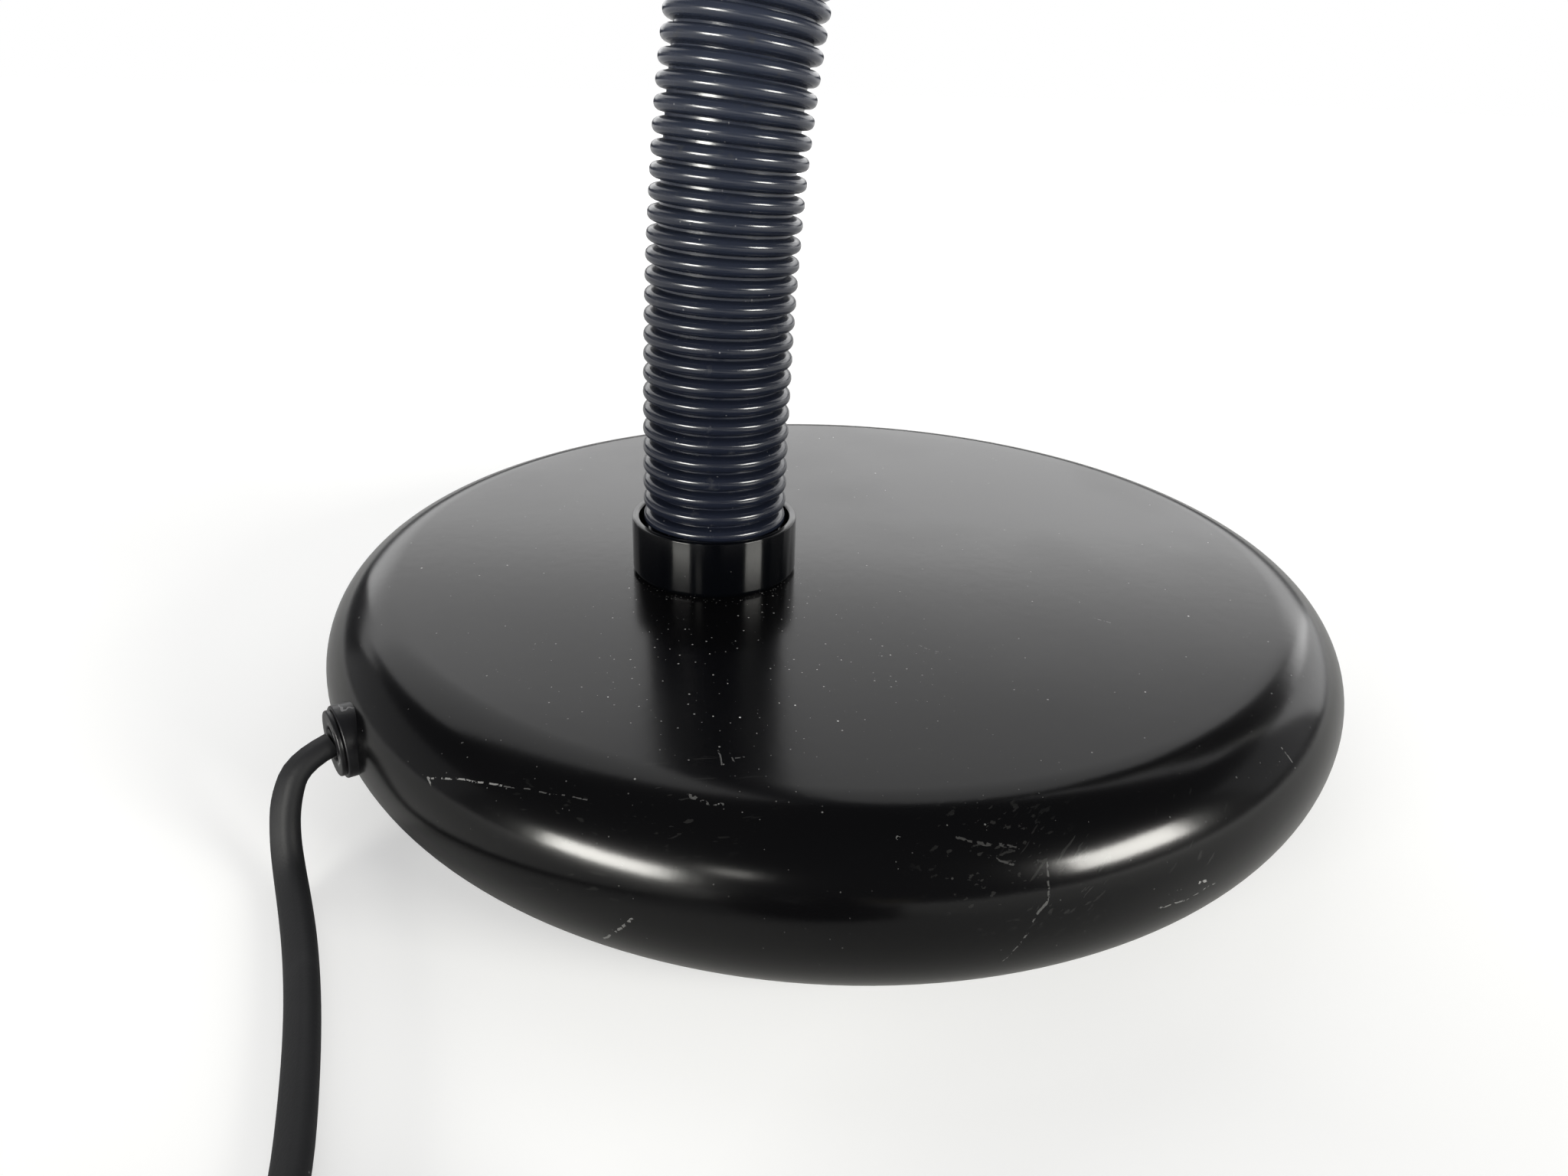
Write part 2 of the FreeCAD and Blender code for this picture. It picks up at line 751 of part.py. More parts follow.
def make_plug():
    """A moulded two-blade plug, lying on the coil."""
    start = at("coil_x", "coil_y", COIL_TOP) * at("-plug_setback", "-plug_width", 0)
    wide, tail = "plug_width / 2", "plug_tail / 2"
    keep("plug_body", slab("plug_moulding", [
        ("0", f"-{tail}"),
        ("plug_length / 2", f"-{wide}"),
        ("plug_length", f"-{wide}"),
        ("plug_length", wide),
        ("plug_length / 2", wide),
        ("0", tail),
    ], "plug_height", (), start))
    blades = [
        block(f"blade_{side}", "blade_length", "blade_thick", "blade_width", start * at(
            "plug_length", f"({sign} * blade_spacing - blade_thick) / 2", "(plug_height - blade_width) / 2"))
        for side, sign in (("left", 1), ("right", -1))
    ]
    keep("plug_blades", grouped("plug_blades", blades))


# The lead inside: through the strain relief, under the weight, up the neck and into the lampholder

def make_end_leads():
    radius, half_gap = value("lead_radius"), value("lead_gap") / 2
    under = value(f"{COVER_TOP} + lead_radius + tip_room")
    entry = relief_place(RELIEF_OUT)
    foot = vec(-value("foot_offset"), 0, 0)
    away = vec(entry.Base.x, entry.Base.y, 0) - foot
    away.normalize()

    def spot(out, height):
        """A point out from the stud towards the strain relief."""
        return foot + away * out + Z * height

    reach = value(f"{WEIGHT} - foot_offset")
    rounded_route("base_lead", [
        entry.Base,
        entry.Base - along(entry) * value("relief_barb_gap + relief_barb_thick + nut_thick"),
        spot(reach + value("lead_drop"), (value("relief_height") + under) / 2),
        spot(reach - value("lead_level"), under),
        spot(value("stud_radius + lead_clear"), under),
        spot(value("hole_gap"), under + value("stud_radius + lead_rise")),
        foot + Z * value("base_height"),
        neck_at(MIDDLES[0] - half_gap).Base,
    ], radius)
    rounded_route("head_lead", [
        neck_at(MIDDLES[-1] + half_gap).Base,
        (HEAD * at(0, 0, "-(collar_floor + flange_thick)")).Base,
        (HEAD * at(0, 0, "holder_floor - tongue_root - fit_gap")).Base,
    ], radius)


# The shade

def shade_path():
    """The shade's outer line: radius, height, its angle from the axis there, and the next edge's arc with
    its sign, +1 where it flares and -1 where it closes in."""
    flare = "shade_neck + flare_radius * (1 - cos(flare_turn))"
    flare_z = "shade_neck_length + flare_radius * sin(flare_turn)"
    dome = f"{flare} + dome_radius * (cos(dome_turn) - cos(flare_turn))"
    dome_z = f"{flare_z} + dome_radius * (sin(flare_turn) - sin(dome_turn))"
    bell = f"{dome} + bell_radius * (cos(bell_turn) - cos(dome_turn))"
    bell_z = f"{dome_z} + bell_radius * (sin(dome_turn) - sin(bell_turn))"
    return [
        ("stud_radius + hole_gap", "0", "90", None, 0),
        ("shade_neck - shade_shoulder", "0", "90", "shade_shoulder", -1),
        ("shade_neck", "shade_shoulder", "0", None, 0),
        ("shade_neck", "shade_neck_length", "0", "flare_radius", 1),
        (flare, flare_z, "flare_turn", "dome_radius", -1),
        (dome, dome_z, "dome_turn", "bell_radius", -1),
        (bell, bell_z, "bell_turn", None, 0),
    ]


def make_shade():
    path = shade_path()
    outer = [(radius, height) for radius, height, *_ in path]
    inner = [
        (f"{radius} - shade_wall * cos({way})", f"{height} + shade_wall * sin({way})")
        for radius, height, way, *_ in path
    ]
    arcs = {}
    for i, (*_, bend, sign) in enumerate(path):
        if bend:
            arcs[i] = f"{-sign} * {bend}"
            arcs[2 * len(path) - 2 - i] = f"{sign} * ({bend} + {sign} * shade_wall)"
    bell = lathe("shade_spun", outer + inner[::-1], arcs, HEAD)
    rim = doc.addObject("Part::Torus", "shade_rim")
    rim.setExpression("Radius1", bound(f"{path[-1][0]} - shade_wall / 2"))
    rim.setExpression("Radius2", bound("rim_radius"))
    rim.Placement = HEAD * at(0, 0, path[-1][1])
    step = 360 / count("vent_count")
    vents = [
        block(f"vent_{i + 1}", "shade_neck", "vent_width", "vent_length",
              HEAD * turned(Z, step * (i + 0.5)) * at("holder_radius", "-vent_width / 2", "vent_start"))
        for i in range(count("vent_count"))
    ]
    switch_hole = rod("shade_switch_hole", "bush_radius + fit_gap", "shade_neck", switch_place("holder_radius"))
    blank = joined("shade_blank", [bell, rim])
    keep("shade", cut("shade", blank, [joined("shade_vents", vents), switch_hole]))


# The lampholder, which screws onto the upper stud, and the rotary switch on its side

HOLDER_BORE = "(stud_radius + thread_gap)"
TONGUE_TOP = "(holder_floor + tongue_height)"


def make_holder():
    blank = lathe("holder_turned", [
        (HOLDER_BORE, "holder_seat"),
        ("holder_hub", "holder_seat"),
        ("holder_hub", "holder_base"),
        ("holder_radius", "holder_base"),
        ("holder_radius", "holder_length"),
        ("holder_bore", "holder_length"),
        ("holder_bore", "holder_floor"),
        (HOLDER_BORE, "holder_floor"),
    ], None, HEAD)
    pocket = rod("holder_switch_pocket", "switch_radius + fit_gap", "holder_radius",
                 switch_place(f"{SWITCH_LOW} - fit_gap"))
    keep("lampholder_body", cut("lampholder_body", blank, [pocket]))
    low, inner = "holder_floor + thread_gap", "screwshell_radius - screwshell_wall"
    keep("lampholder_shell", lathe("screwshell_turned", [
        ("screwshell_radius - screwshell_floor", low),
        ("screwshell_radius", low),
        ("screwshell_radius", "holder_floor + screwshell_length"),
        (inner, "holder_floor + screwshell_length"),
        (inner, f"{low} + screwshell_wall"),
        ("screwshell_radius - screwshell_floor", f"{low} + screwshell_wall"),
    ], None, HEAD))
    keep("lampholder_contact", lathe("contact_turned", [
        ("0", "holder_floor - tongue_root"),
        ("stud_radius", "holder_floor - tongue_root"),
        ("stud_radius", "holder_floor"),
        ("tongue_radius + tongue_foot", "holder_floor"),
        ("tongue_radius", f"({TONGUE_TOP} + holder_floor) / 2"),
        ("tongue_radius", TONGUE_TOP),
        ("0", TONGUE_TOP),
    ], None, HEAD))


SWITCH_LOW = "(stud_radius + switch_inset)"


def switch_place(out=0):
    """On the switch's axis, out from the head's, whose Z points up out of the shade's neck."""
    return HEAD * at(f"-({out})", 0, "switch_at") * turned(Y, -90)


def make_switch():
    bore, back = "shaft_radius + shaft_gap", f"{SWITCH_LOW} + switch_back"
    keep("switch_body", lathe("switch_turned", [
        ("0", SWITCH_LOW),
        ("switch_radius", SWITCH_LOW),
        ("switch_radius", "holder_radius"),
        ("bush_radius", "holder_radius"),
        ("bush_radius", "bush_reach"),
        (bore, "bush_reach"),
        (bore, back),
        ("0", back),
    ], None, switch_place()))
    nut_low = "shade_neck + fit_gap"
    keep("switch_nut", ring("switch_ring_nut", "bush_radius + thread_gap", "ring_nut_radius", nut_low,
                            f"{nut_low} + ring_nut_thick", switch_place()))
    keep("switch_shaft", ring("switch_spindle", "0", "shaft_radius", f"{back} + joint_gap", "shaft_reach",
                              switch_place()))
    low, grip = "bush_reach + knob_gap", "shaft_radius + thread_gap / 2"
    top = f"{low} + knob_length"
    knob = lathe("knob_moulded", [
        (grip, low),
        ("knob_radius", low),
        ("knob_radius", f"{top} - knob_edge"),
        ("knob_radius - knob_edge", top),
        ("0", top),
        ("0", "shaft_reach"),
        (grip, "shaft_reach"),
    ], None, switch_place())
    step = 360 / count("knob_flutes")
    flutes = [
        rod(f"knob_flute_{i + 1}", "knob_flute", "knob_length", switch_place() * turned(Z, step * i)
            * at("knob_radius + knob_flute / 3", 0, f"{low} + knob_flute_start"))
        for i in range(count("knob_flutes"))
    ]
    keep("switch_knob", cut("switch_knob", knob, [joined("knob_flutes_tool", flutes)]))


# The bulb, screwed home: its tip stands on the lampholder's tongue

CAP_LOW = f"({TONGUE_TOP} + tip_height)"
GLASS_LOW = f"({CAP_LOW} + 2 * cap_wall + joint_gap)"


def glass_line(inset):
    """Half of the glass from its open neck to its round end: radius, height."""
    centre = f"({TONGUE_TOP} + bulb_length - glass_radius)"
    ball_radius = f"(glass_radius - {inset})"
    return [
        (f"glass_neck - {inset}", GLASS_LOW),
        (f"glass_neck - {inset}", f"{GLASS_LOW} + glass_neck_length"),
        (f"{ball_radius} * cos(glass_throat)", f"{centre} - {ball_radius} * sin(glass_throat)"),
        ("0", f"{centre} + {ball_radius}"),
    ]


def make_bulb():
    keep("bulb_contact", lathe("bulb_tip", [
        ("0", TONGUE_TOP),
        ("tip_radius", TONGUE_TOP),
        ("cap_radius - cap_wall", CAP_LOW),
        ("cap_radius - cap_wall", f"{CAP_LOW} + cap_wall"),
        ("0", f"{CAP_LOW} + cap_wall"),
    ], None, HEAD))
    keep("bulb_cap", ring("bulb_cap_ring", "cap_radius - cap_wall", "cap_radius", f"{CAP_LOW} + cap_wall",
                          f"{CAP_LOW} + cap_length", HEAD))
    keep("bulb_glass", lathe("bulb_blown", glass_line("0") + glass_line("glass_wall")[::-1], {
        2: "glass_radius",
        4: "-(glass_radius - glass_wall)",
    }, HEAD))
    low = f"{GLASS_LOW} + fit_gap"
    keep("bulb_stem", lathe("bulb_mount", [
        ("0", low),
        ("glass_neck - glass_wall - joint_gap", low),
        ("stem_radius", f"{low} + stem_foot"),
        ("stem_radius / 2", f"{low} + stem_length"),
        ("0", f"{low} + stem_length"),
    ], None, HEAD))


def check_and_write():
    doc.recompute()
    for thing in doc.Objects:
        if {"Invalid", "Error"} & set(thing.State):
            raise RuntimeError(f"{thing.Name} failed: {thing.State}")
    for node, thing in PARTS.items():
        if thing.Shape.isNull() or not thing.Shape.isValid() or not thing.Shape.Solids:
            raise RuntimeError(f"{node} has no valid shape")
    os.makedirs("parts", exist_ok=True)
    for node, thing in PARTS.items():
        thing.Shape.exportStep(f"parts/{node}.step")
    print(len(PARTS), "sub-parts,", sum(len(thing.Shape.Solids) for thing in PARTS.values()), "solids")


shell_form = make_shell()
make_weight()
make_cover()
make_relief(shell_form)
make_cord()
make_coil()
make_plug()
make_end_leads()
make_neck()
make_ends()
make_shade()
make_holder()
make_switch()
make_bulb()
check_and_write()
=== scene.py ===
# %% [markdown]
# A gooseneck desk lamp: a heavy round foot, a ribbed bendable neck, a bell shade and a mains cord.
# The solid model of every part is already made, and gives the sizes and the places. This lesson dresses
# it: each cell makes one piece or one finish as the eye sees it, in metres, in the solid model's own place.

# %% Load the solid model
import math

import bmesh
import bpy
from mathutils import Matrix, Vector


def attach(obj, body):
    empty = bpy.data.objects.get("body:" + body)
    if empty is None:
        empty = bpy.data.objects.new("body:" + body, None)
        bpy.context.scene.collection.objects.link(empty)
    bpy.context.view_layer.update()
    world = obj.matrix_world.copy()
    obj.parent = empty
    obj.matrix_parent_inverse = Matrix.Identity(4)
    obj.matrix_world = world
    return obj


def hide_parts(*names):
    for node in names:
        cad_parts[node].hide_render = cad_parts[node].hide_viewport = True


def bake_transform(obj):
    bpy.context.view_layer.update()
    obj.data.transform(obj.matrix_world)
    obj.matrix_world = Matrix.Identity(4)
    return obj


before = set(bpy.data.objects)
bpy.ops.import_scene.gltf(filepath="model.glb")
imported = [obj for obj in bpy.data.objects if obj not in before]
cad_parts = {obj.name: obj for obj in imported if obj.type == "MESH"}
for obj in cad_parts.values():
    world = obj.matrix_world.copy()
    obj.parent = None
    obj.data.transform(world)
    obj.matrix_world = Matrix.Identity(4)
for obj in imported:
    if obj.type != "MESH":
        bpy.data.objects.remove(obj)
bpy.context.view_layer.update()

# %% [markdown]
# The camera stands where the photographer stood. Its place and its three directions were found from the
# ellipses of the foot and the collar, so it is written down as numbers and not moved by eye. A matrix is
# used in place of three angles, because its columns are simply the camera's right, up and backward ways.

# %% Camera
PHOTO_WIDTH = 2048
FOCAL_PIXELS = 1449.55
SENSOR = 36.0
camera_place = Vector((-0.08766, -0.16487, 0.10679))
camera_right = Vector((0.90844222, -0.41717326, 0.02644247))
camera_up = Vector((0.15382634, 0.39245285, 0.90681763))
camera_forward = Vector((0.38867749, 0.81972388, -0.42069298))

camera_data = bpy.data.cameras.new("photo_camera")
camera_data.sensor_width = SENSOR
camera_data.lens = SENSOR * FOCAL_PIXELS / PHOTO_WIDTH
camera_data.clip_start = 0.01
camera = bpy.data.objects.new("photo_camera", camera_data)
bpy.context.scene.collection.objects.link(camera)
camera.matrix_world = Matrix.Translation(camera_place) @ Matrix(
    (camera_right, camera_up, -camera_forward)).transposed().to_4x4()
bpy.context.scene.camera = camera
print(f"lens {camera_data.lens:.2f} mm")

# %% [markdown]
# Every finish is a Principled shader with layers of change laid over it: a tint where a mask is white,
# another roughness there, and a bump. Three small functions lay such a layer over whatever a material
# already has, so a finish reads as a list of layers. Patterns read Object coordinates, which are metres here.

# %% Finishes: the blank and its layers
def finish(name, colour, roughness, metallic=0.0, specular=0.5):
    """A plain material that the layers below are laid on."""
    material = bpy.data.materials.new(name)
    material.use_nodes = True
    material.diffuse_color = (*colour, 1)
    shader = material.node_tree.nodes["Principled BSDF"]
    shader.inputs["Base Color"].default_value = (*colour, 1)
    shader.inputs["Roughness"].default_value = roughness
    shader.inputs["Metallic"].default_value = metallic
    shader.inputs["Specular IOR Level"].default_value = specular
    return material


def shader_of(material):
    return material.node_tree.nodes["Principled BSDF"]


MIX_COLOURS, MIX_NUMBERS = (6, 7, 2), (2, 3, 0)


def lay(material, mask, socket, level):
    """Where the mask is white, the shader's socket gets level in place of what it had."""
    tree = material.node_tree
    target = shader_of(material).inputs[socket]
    mix = tree.nodes.new("ShaderNodeMix")
    coloured = socket == "Base Color"
    mix.data_type = "RGBA" if coloured else "FLOAT"
    before, after, out = MIX_COLOURS if coloured else MIX_NUMBERS
    if target.is_linked:
        tree.links.new(target.links[0].from_socket, mix.inputs[before])
    else:
        mix.inputs[before].default_value = target.default_value
    mix.inputs[after].default_value = (*level, 1) if coloured else level
    tree.links.new(mask, mix.inputs[0])
    tree.links.new(mix.outputs[out], target)


def raise_surface(material, height, distance):
    """Bumps the surface by a height pattern, on top of any bump that it has."""
    tree = material.node_tree
    target = shader_of(material).inputs["Normal"]
    bump = tree.nodes.new("ShaderNodeBump")
    bump.inputs["Distance"].default_value = distance
    if target.is_linked:
        tree.links.new(target.links[0].from_socket, bump.inputs["Normal"])
    tree.links.new(height, bump.inputs["Height"])
    tree.links.new(bump.outputs["Normal"], target)


# %% [markdown]
# Some marks turn up on many finishes: dust, fine scratches, moulded grain and cloudy wear. Each is a node
# group with named inputs, built once and placed in a material with that material's own numbers. A group
# gives out only a mask, so the shader and its reflections stay in the material itself.

# %% Shader groups: the marks
def wire(tree, kind, *inputs, **settings):
    """One node with its settings, its inputs given in order as numbers or as other nodes' outputs."""
    made = tree.nodes.new(kind)
    for key, value in settings.items():
        setattr(made, key, value)
    for i, value in enumerate(inputs):
        if isinstance(value, bpy.types.NodeSocket):
            tree.links.new(value, made.inputs[i])
        elif value is not None:
            made.inputs[i].default_value = value
    return made


def maths(tree, operation, *inputs, **settings):
    """The result of one Math node."""
    return wire(tree, "ShaderNodeMath", *inputs, operation=operation, **settings).outputs[0]


def vector(tree, operation, *inputs, scale=None):
    """The result of one Vector Math node: a vector, or a number where the operation gives one."""
    made = wire(tree, "ShaderNodeVectorMath", *inputs, operation=operation)
    if scale is not None:
        tree.links.new(scale, made.inputs["Scale"])
    return made.outputs["Value" if operation in ("DOT_PRODUCT", "DISTANCE", "LENGTH") else "Vector"]


def noise(tree, place, scale, detail):
    """A noise texture's pattern."""
    return wire(tree, "ShaderNodeTexNoise", place, None, scale, detail).outputs["Fac"]


def soft_step(tree, value, *ends):
    """From 0 to 1 between two ends, or between two levels given after them, with no corner."""
    return wire(tree, "ShaderNodeMapRange", value, *ends, interpolation_type="SMOOTHSTEP").outputs["Result"]


def mark_group(name, *vectors, **numbers):
    """An empty shader group with vector inputs, number inputs and a Mask output, and its inputs."""
    group = bpy.data.node_groups.new(name, "ShaderNodeTree")
    for label in ("Vector", *vectors):
        group.interface.new_socket(label, in_out="INPUT", socket_type="NodeSocketVector")
    for label, number in numbers.items():
        socket = group.interface.new_socket(label, in_out="INPUT", socket_type="NodeSocketFloat")
        socket.default_value = number
    group.interface.new_socket("Mask", in_out="OUTPUT", socket_type="NodeSocketFloat")
    return group, group.nodes.new("NodeGroupInput").outputs


def giving(group, mask):
    """The finished group, which gives out this mask."""
    group.links.new(mask, group.nodes.new("NodeGroupOutput").inputs["Mask"])
    return group


def build_specks():
    """Small dots scattered over the surface: dust, or pits in a casting."""
    group, given = mark_group("specks", Scale=900.0, Share=0.06, Size=0.12)
    cells = wire(group, "ShaderNodeTexVoronoi", given["Vector"], None, given["Scale"]).outputs
    chance = wire(group, "ShaderNodeSeparateColor", cells["Color"]).outputs
    picked = maths(group, "LESS_THAN", chance[0], given["Share"])
    reach = maths(group, "MULTIPLY", chance[1], given["Size"])
    near = maths(group, "LESS_THAN", cells["Distance"], reach)
    return giving(group, maths(group, "MULTIPLY", picked, near))


def build_hairlines():
    """Fine scratches: thin contour lines of a stretched noise, kept only in patches."""
    group, given = mark_group("hairlines", Scale=40.0, Stretch=6.0, Width=0.004, Patches=0.6)
    stretch = wire(group, "ShaderNodeCombineXYZ", given["Stretch"], 1.0, 1.0).outputs[0]
    swirl = noise(group, vector(group, "MULTIPLY", given["Vector"], stretch), given["Scale"], 3.0)
    off = maths(group, "ABSOLUTE", maths(group, "SUBTRACT", swirl, 0.5))
    line = maths(group, "LESS_THAN", off, given["Width"])
    patch = maths(group, "GREATER_THAN", noise(group, given["Vector"], 55.0, 2.0), given["Patches"])
    return giving(group, maths(group, "MULTIPLY", line, patch))


def build_clouds():
    """Soft uneven patches: handling, haze and slight colour change."""
    group, given = mark_group("clouds", Scale=30.0, Low=0.4, High=0.7)
    cloud = noise(group, given["Vector"], given["Scale"], 4.0)
    return giving(group, soft_step(group, cloud, given["Low"], given["High"]))


def build_grain():
    """The fine stipple of sprayed paint or of a spark-eroded mould."""
    group, given = mark_group("grain", Scale=1500.0, Detail=2.0)
    return giving(group, noise(group, given["Vector"], given["Scale"], given["Detail"]))


def build_scuff():
    """One scratch between two points, broken up and slightly crooked."""
    group, given = mark_group("scuff", "From", "To", Width=0.0004, Wander=0.002, Breaks=0.45)
    wobble = wire(group, "ShaderNodeTexNoise", given["Vector"], None, 160.0, 4.0).outputs["Color"]
    centred = vector(group, "SUBTRACT", wobble, (0.5, 0.5, 0.5))
    shift = vector(group, "SCALE", centred, scale=given["Wander"])
    crooked = vector(group, "ADD", given["Vector"], shift)
    way = vector(group, "SUBTRACT", given["To"], given["From"])
    here = vector(group, "SUBTRACT", crooked, given["From"])
    top = vector(group, "DOT_PRODUCT", here, way)
    share = maths(group, "DIVIDE", top, vector(group, "DOT_PRODUCT", way, way), use_clamp=True)
    gap = vector(group, "SUBTRACT", here, vector(group, "SCALE", way, scale=share))
    skin = wire(group, "ShaderNodeNewGeometry").outputs["Normal"]
    aside = vector(group, "DISTANCE", gap, vector(group, "PROJECT", gap, skin))
    near = maths(group, "LESS_THAN", aside, given["Width"])
    kept = maths(group, "GREATER_THAN", noise(group, given["Vector"], 1400.0, 3.0), given["Breaks"])
    return giving(group, maths(group, "MULTIPLY", near, kept))


def build_streaks():
    """Short parallel strokes: a noise drawn out along one direction and cut high."""
    group, given = mark_group("streaks", "Along", Scale=900.0, Draw=0.9, Level=0.64)
    part = vector(group, "PROJECT", given["Vector"], given["Along"])
    drawn = vector(group, "SUBTRACT", given["Vector"], vector(group, "SCALE", part, scale=given["Draw"]))
    strokes = noise(group, drawn, given["Scale"], 3.0)
    return giving(group, maths(group, "GREATER_THAN", strokes, given["Level"]))


MARKS = {
    "specks": build_specks(),
    "streaks": build_streaks(),
    "hairlines": build_hairlines(),
    "clouds": build_clouds(),
    "grain": build_grain(),
    "scuff": build_scuff(),
}


def own_place(tree):
    """The piece's own coordinates, which are metres in the solid model's place."""
    place = tree.nodes.get("Texture Coordinate") or tree.nodes.new("ShaderNodeTexCoord")
    return place.outputs["Object"]


def mark(material, kind, **numbers):
    """Places a mark's group in a material and gives its mask."""
    tree = material.node_tree
    placed = tree.nodes.new("ShaderNodeGroup")
    placed.node_tree = MARKS[kind]
    tree.links.new(own_place(tree), placed.inputs["Vector"])
    for label, number in numbers.items():
        placed.inputs[label].default_value = number
    return placed.outputs["Mask"]


def nearness(material, centre, inner, outer):
    """1 within inner metres of a point, 0 beyond outer, and a soft step between."""
    tree = material.node_tree
    away = vector(tree, "DISTANCE", own_place(tree), centre)
    return soft_step(tree, away, inner, outer, 1.0, 0.0)


print("marks:", ", ".join(MARKS))

# %% [markdown]
# The foot is steel with a sprayed semi-gloss black enamel. Its top throws back a blurred picture of the
# room, so the roughness matters more than the colour. Over the paint lie dust, a few hair scratches and
# the scuffs along the rounded edge, each put where the real one is, between two points on the surface.

# %% Paint of the foot
def grey(level):
    """A colour with no hue."""
    return (level, level, level)


def tint_near(material, mask, centre, inner, outer, level):
    """A grey where the mask is white, only round a point."""
    both = maths(material.node_tree, "MULTIPLY", mask, nearness(material, centre, inner, outer))
    lay(material, both, "Base Color", grey(level))


base_paint = finish("foot_enamel", (0.0018, 0.0018, 0.0021), 0.17, specular=0.3)
lay(base_paint, mark(base_paint, "clouds", Scale=24.0, Low=0.45, High=0.7), "Roughness", 0.21)
TOP_CENTRE = (0.0, 0.0, 0.029)
NECK_FOOT = (-0.023, 0.0, 0.029)
DUST = (
    (300.0, 0.20, 0.055, 0.50, TOP_CENTRE, 0.064, 0.086),
    (700.0, 0.20, 0.11, 0.20, TOP_CENTRE, 0.070, 0.090),
    (1500.0, 0.12, 0.17, 0.06, TOP_CENTRE, 0.080, 0.100),
    (520.0, 0.60, 0.075, 0.75, (-0.034, -0.038, 0.029), 0.016, 0.034),
    (800.0, 0.80, 0.12, 0.30, (-0.032, -0.034, 0.029), 0.016, 0.036),
    (2600.0, 0.55, 0.34, 0.07, NECK_FOOT, 0.0148, 0.0166),
)
for scale, share, size, level, centre, inner, outer in DUST:
    specks = mark(base_paint, "specks", Scale=scale, Share=share, Size=size)
    tint_near(base_paint, specks, centre, inner, outer, level)
RUBS = (
    ((-0.0201, -0.0816, 0.0253), 0.003, 0.012, (0.93, 0.30, -0.20), 0.64, 0.013),
    ((-0.0120, -0.0850, 0.0225), 0.003, 0.011, (0.80, 0.30, 0.50), 0.64, 0.012),
    ((0.0080, -0.0850, 0.0215), 0.002, 0.009, (0.70, 0.40, 0.60), 0.66, 0.013),
    ((-0.0490, -0.0600, 0.0286), 0.003, 0.012, (0.95, -0.30, 0.0), 0.65, 0.012),
    ((-0.0660, -0.0560, 0.0200), 0.003, 0.014, (0.50, -0.80, 0.30), 0.66, 0.009),
)
for centre, inner, outer, along, cut, level in RUBS:
    strokes = mark(base_paint, "streaks", Scale=1500.0, Level=cut, Along=along)
    tint_near(base_paint, strokes, centre, inner, outer, level)
SCUFFS = (
    ((-0.0775, -0.0372, 0.0227), (-0.0697, -0.0466, 0.0255), 0.00018, 0.0012, 0.16),
    ((-0.0775, -0.0372, 0.0227), (-0.0772, -0.0384, 0.0222), 0.00022, 0.0008, 0.14),
    ((-0.0697, -0.0466, 0.0255), (-0.0600, -0.0562, 0.0267), 0.00013, 0.0012, 0.05),
    ((-0.0438, -0.0547, 0.0290), (-0.0445, -0.0577, 0.0290), 0.00018, 0.0016, 0.09),
    ((-0.0427, -0.0559, 0.0290), (-0.0429, -0.0578, 0.0290), 0.00016, 0.0010, 0.08),
    ((-0.0424, -0.0572, 0.0290), (-0.0414, -0.0573, 0.0290), 0.00020, 0.0010, 0.07),
    ((-0.0501, -0.0610, 0.0284), (-0.0468, -0.0643, 0.0282), 0.00035, 0.0040, 0.06),
    ((-0.0302, -0.0764, 0.0269), (-0.0292, -0.0773, 0.0265), 0.00040, 0.0020, 0.08),
    ((-0.0242, -0.0787, 0.0268), (-0.0178, -0.0818, 0.0255), 0.00026, 0.0040, 0.030),
    ((-0.0208, -0.0815, 0.0253), (-0.0186, -0.0830, 0.0241), 0.00022, 0.0030, 0.035),
    ((-0.0145, -0.0839, 0.0240), (-0.0149, -0.0855, 0.0208), 0.00020, 0.0020, 0.05),
    ((-0.0149, -0.0855, 0.0208), (-0.0175, -0.0856, 0.0149), 0.00022, 0.0030, 0.06),
    ((-0.0175, -0.0856, 0.0149), (-0.0192, -0.0844, 0.0113), 0.00018, 0.0020, 0.06),
    ((0.0017, -0.0873, 0.0142), (0.0067, -0.0870, 0.0139), 0.00022, 0.0024, 0.12),
    ((0.0067, -0.0870, 0.0139), (0.0112, -0.0866, 0.0145), 0.00020, 0.0024, 0.12),
    ((0.0080, -0.0871, 0.0162), (0.0095, -0.0869, 0.0158), 0.00040, 0.0020, 0.22),
    ((0.0283, -0.0783, 0.0260), (0.0297, -0.0802, 0.0233), 0.00018, 0.0014, 0.10),
    ((-0.0614, -0.0599, 0.0092), (-0.0589, -0.0645, 0.0146), 0.00028, 0.0030, 0.10),
    ((-0.0606, -0.0616, 0.0109), (-0.0587, -0.0648, 0.0152), 0.00024, 0.0030, 0.10),
    ((0.0255, -0.0416, 0.0290), (0.0270, -0.0446, 0.0290), 0.00010, 0.0030, 0.20),
    ((-0.0051, -0.0392, 0.0290), (-0.0033, -0.0423, 0.0290), 0.00012, 0.0030, 0.16),
)
SCUFF_HALF = 0.6
for start, end, width, wander, level in SCUFFS:
    half = SCUFF_HALF * width
    scuff = mark(base_paint, "scuff", Width=half, Wander=wander, Breaks=0.50, From=start, To=end)
    lay(base_paint, scuff, "Base Color", grey(level))
raise_surface(base_paint, mark(base_paint, "grain", Scale=420.0), 0.000008)
print("scuffs on the foot:", len(SCUFFS))
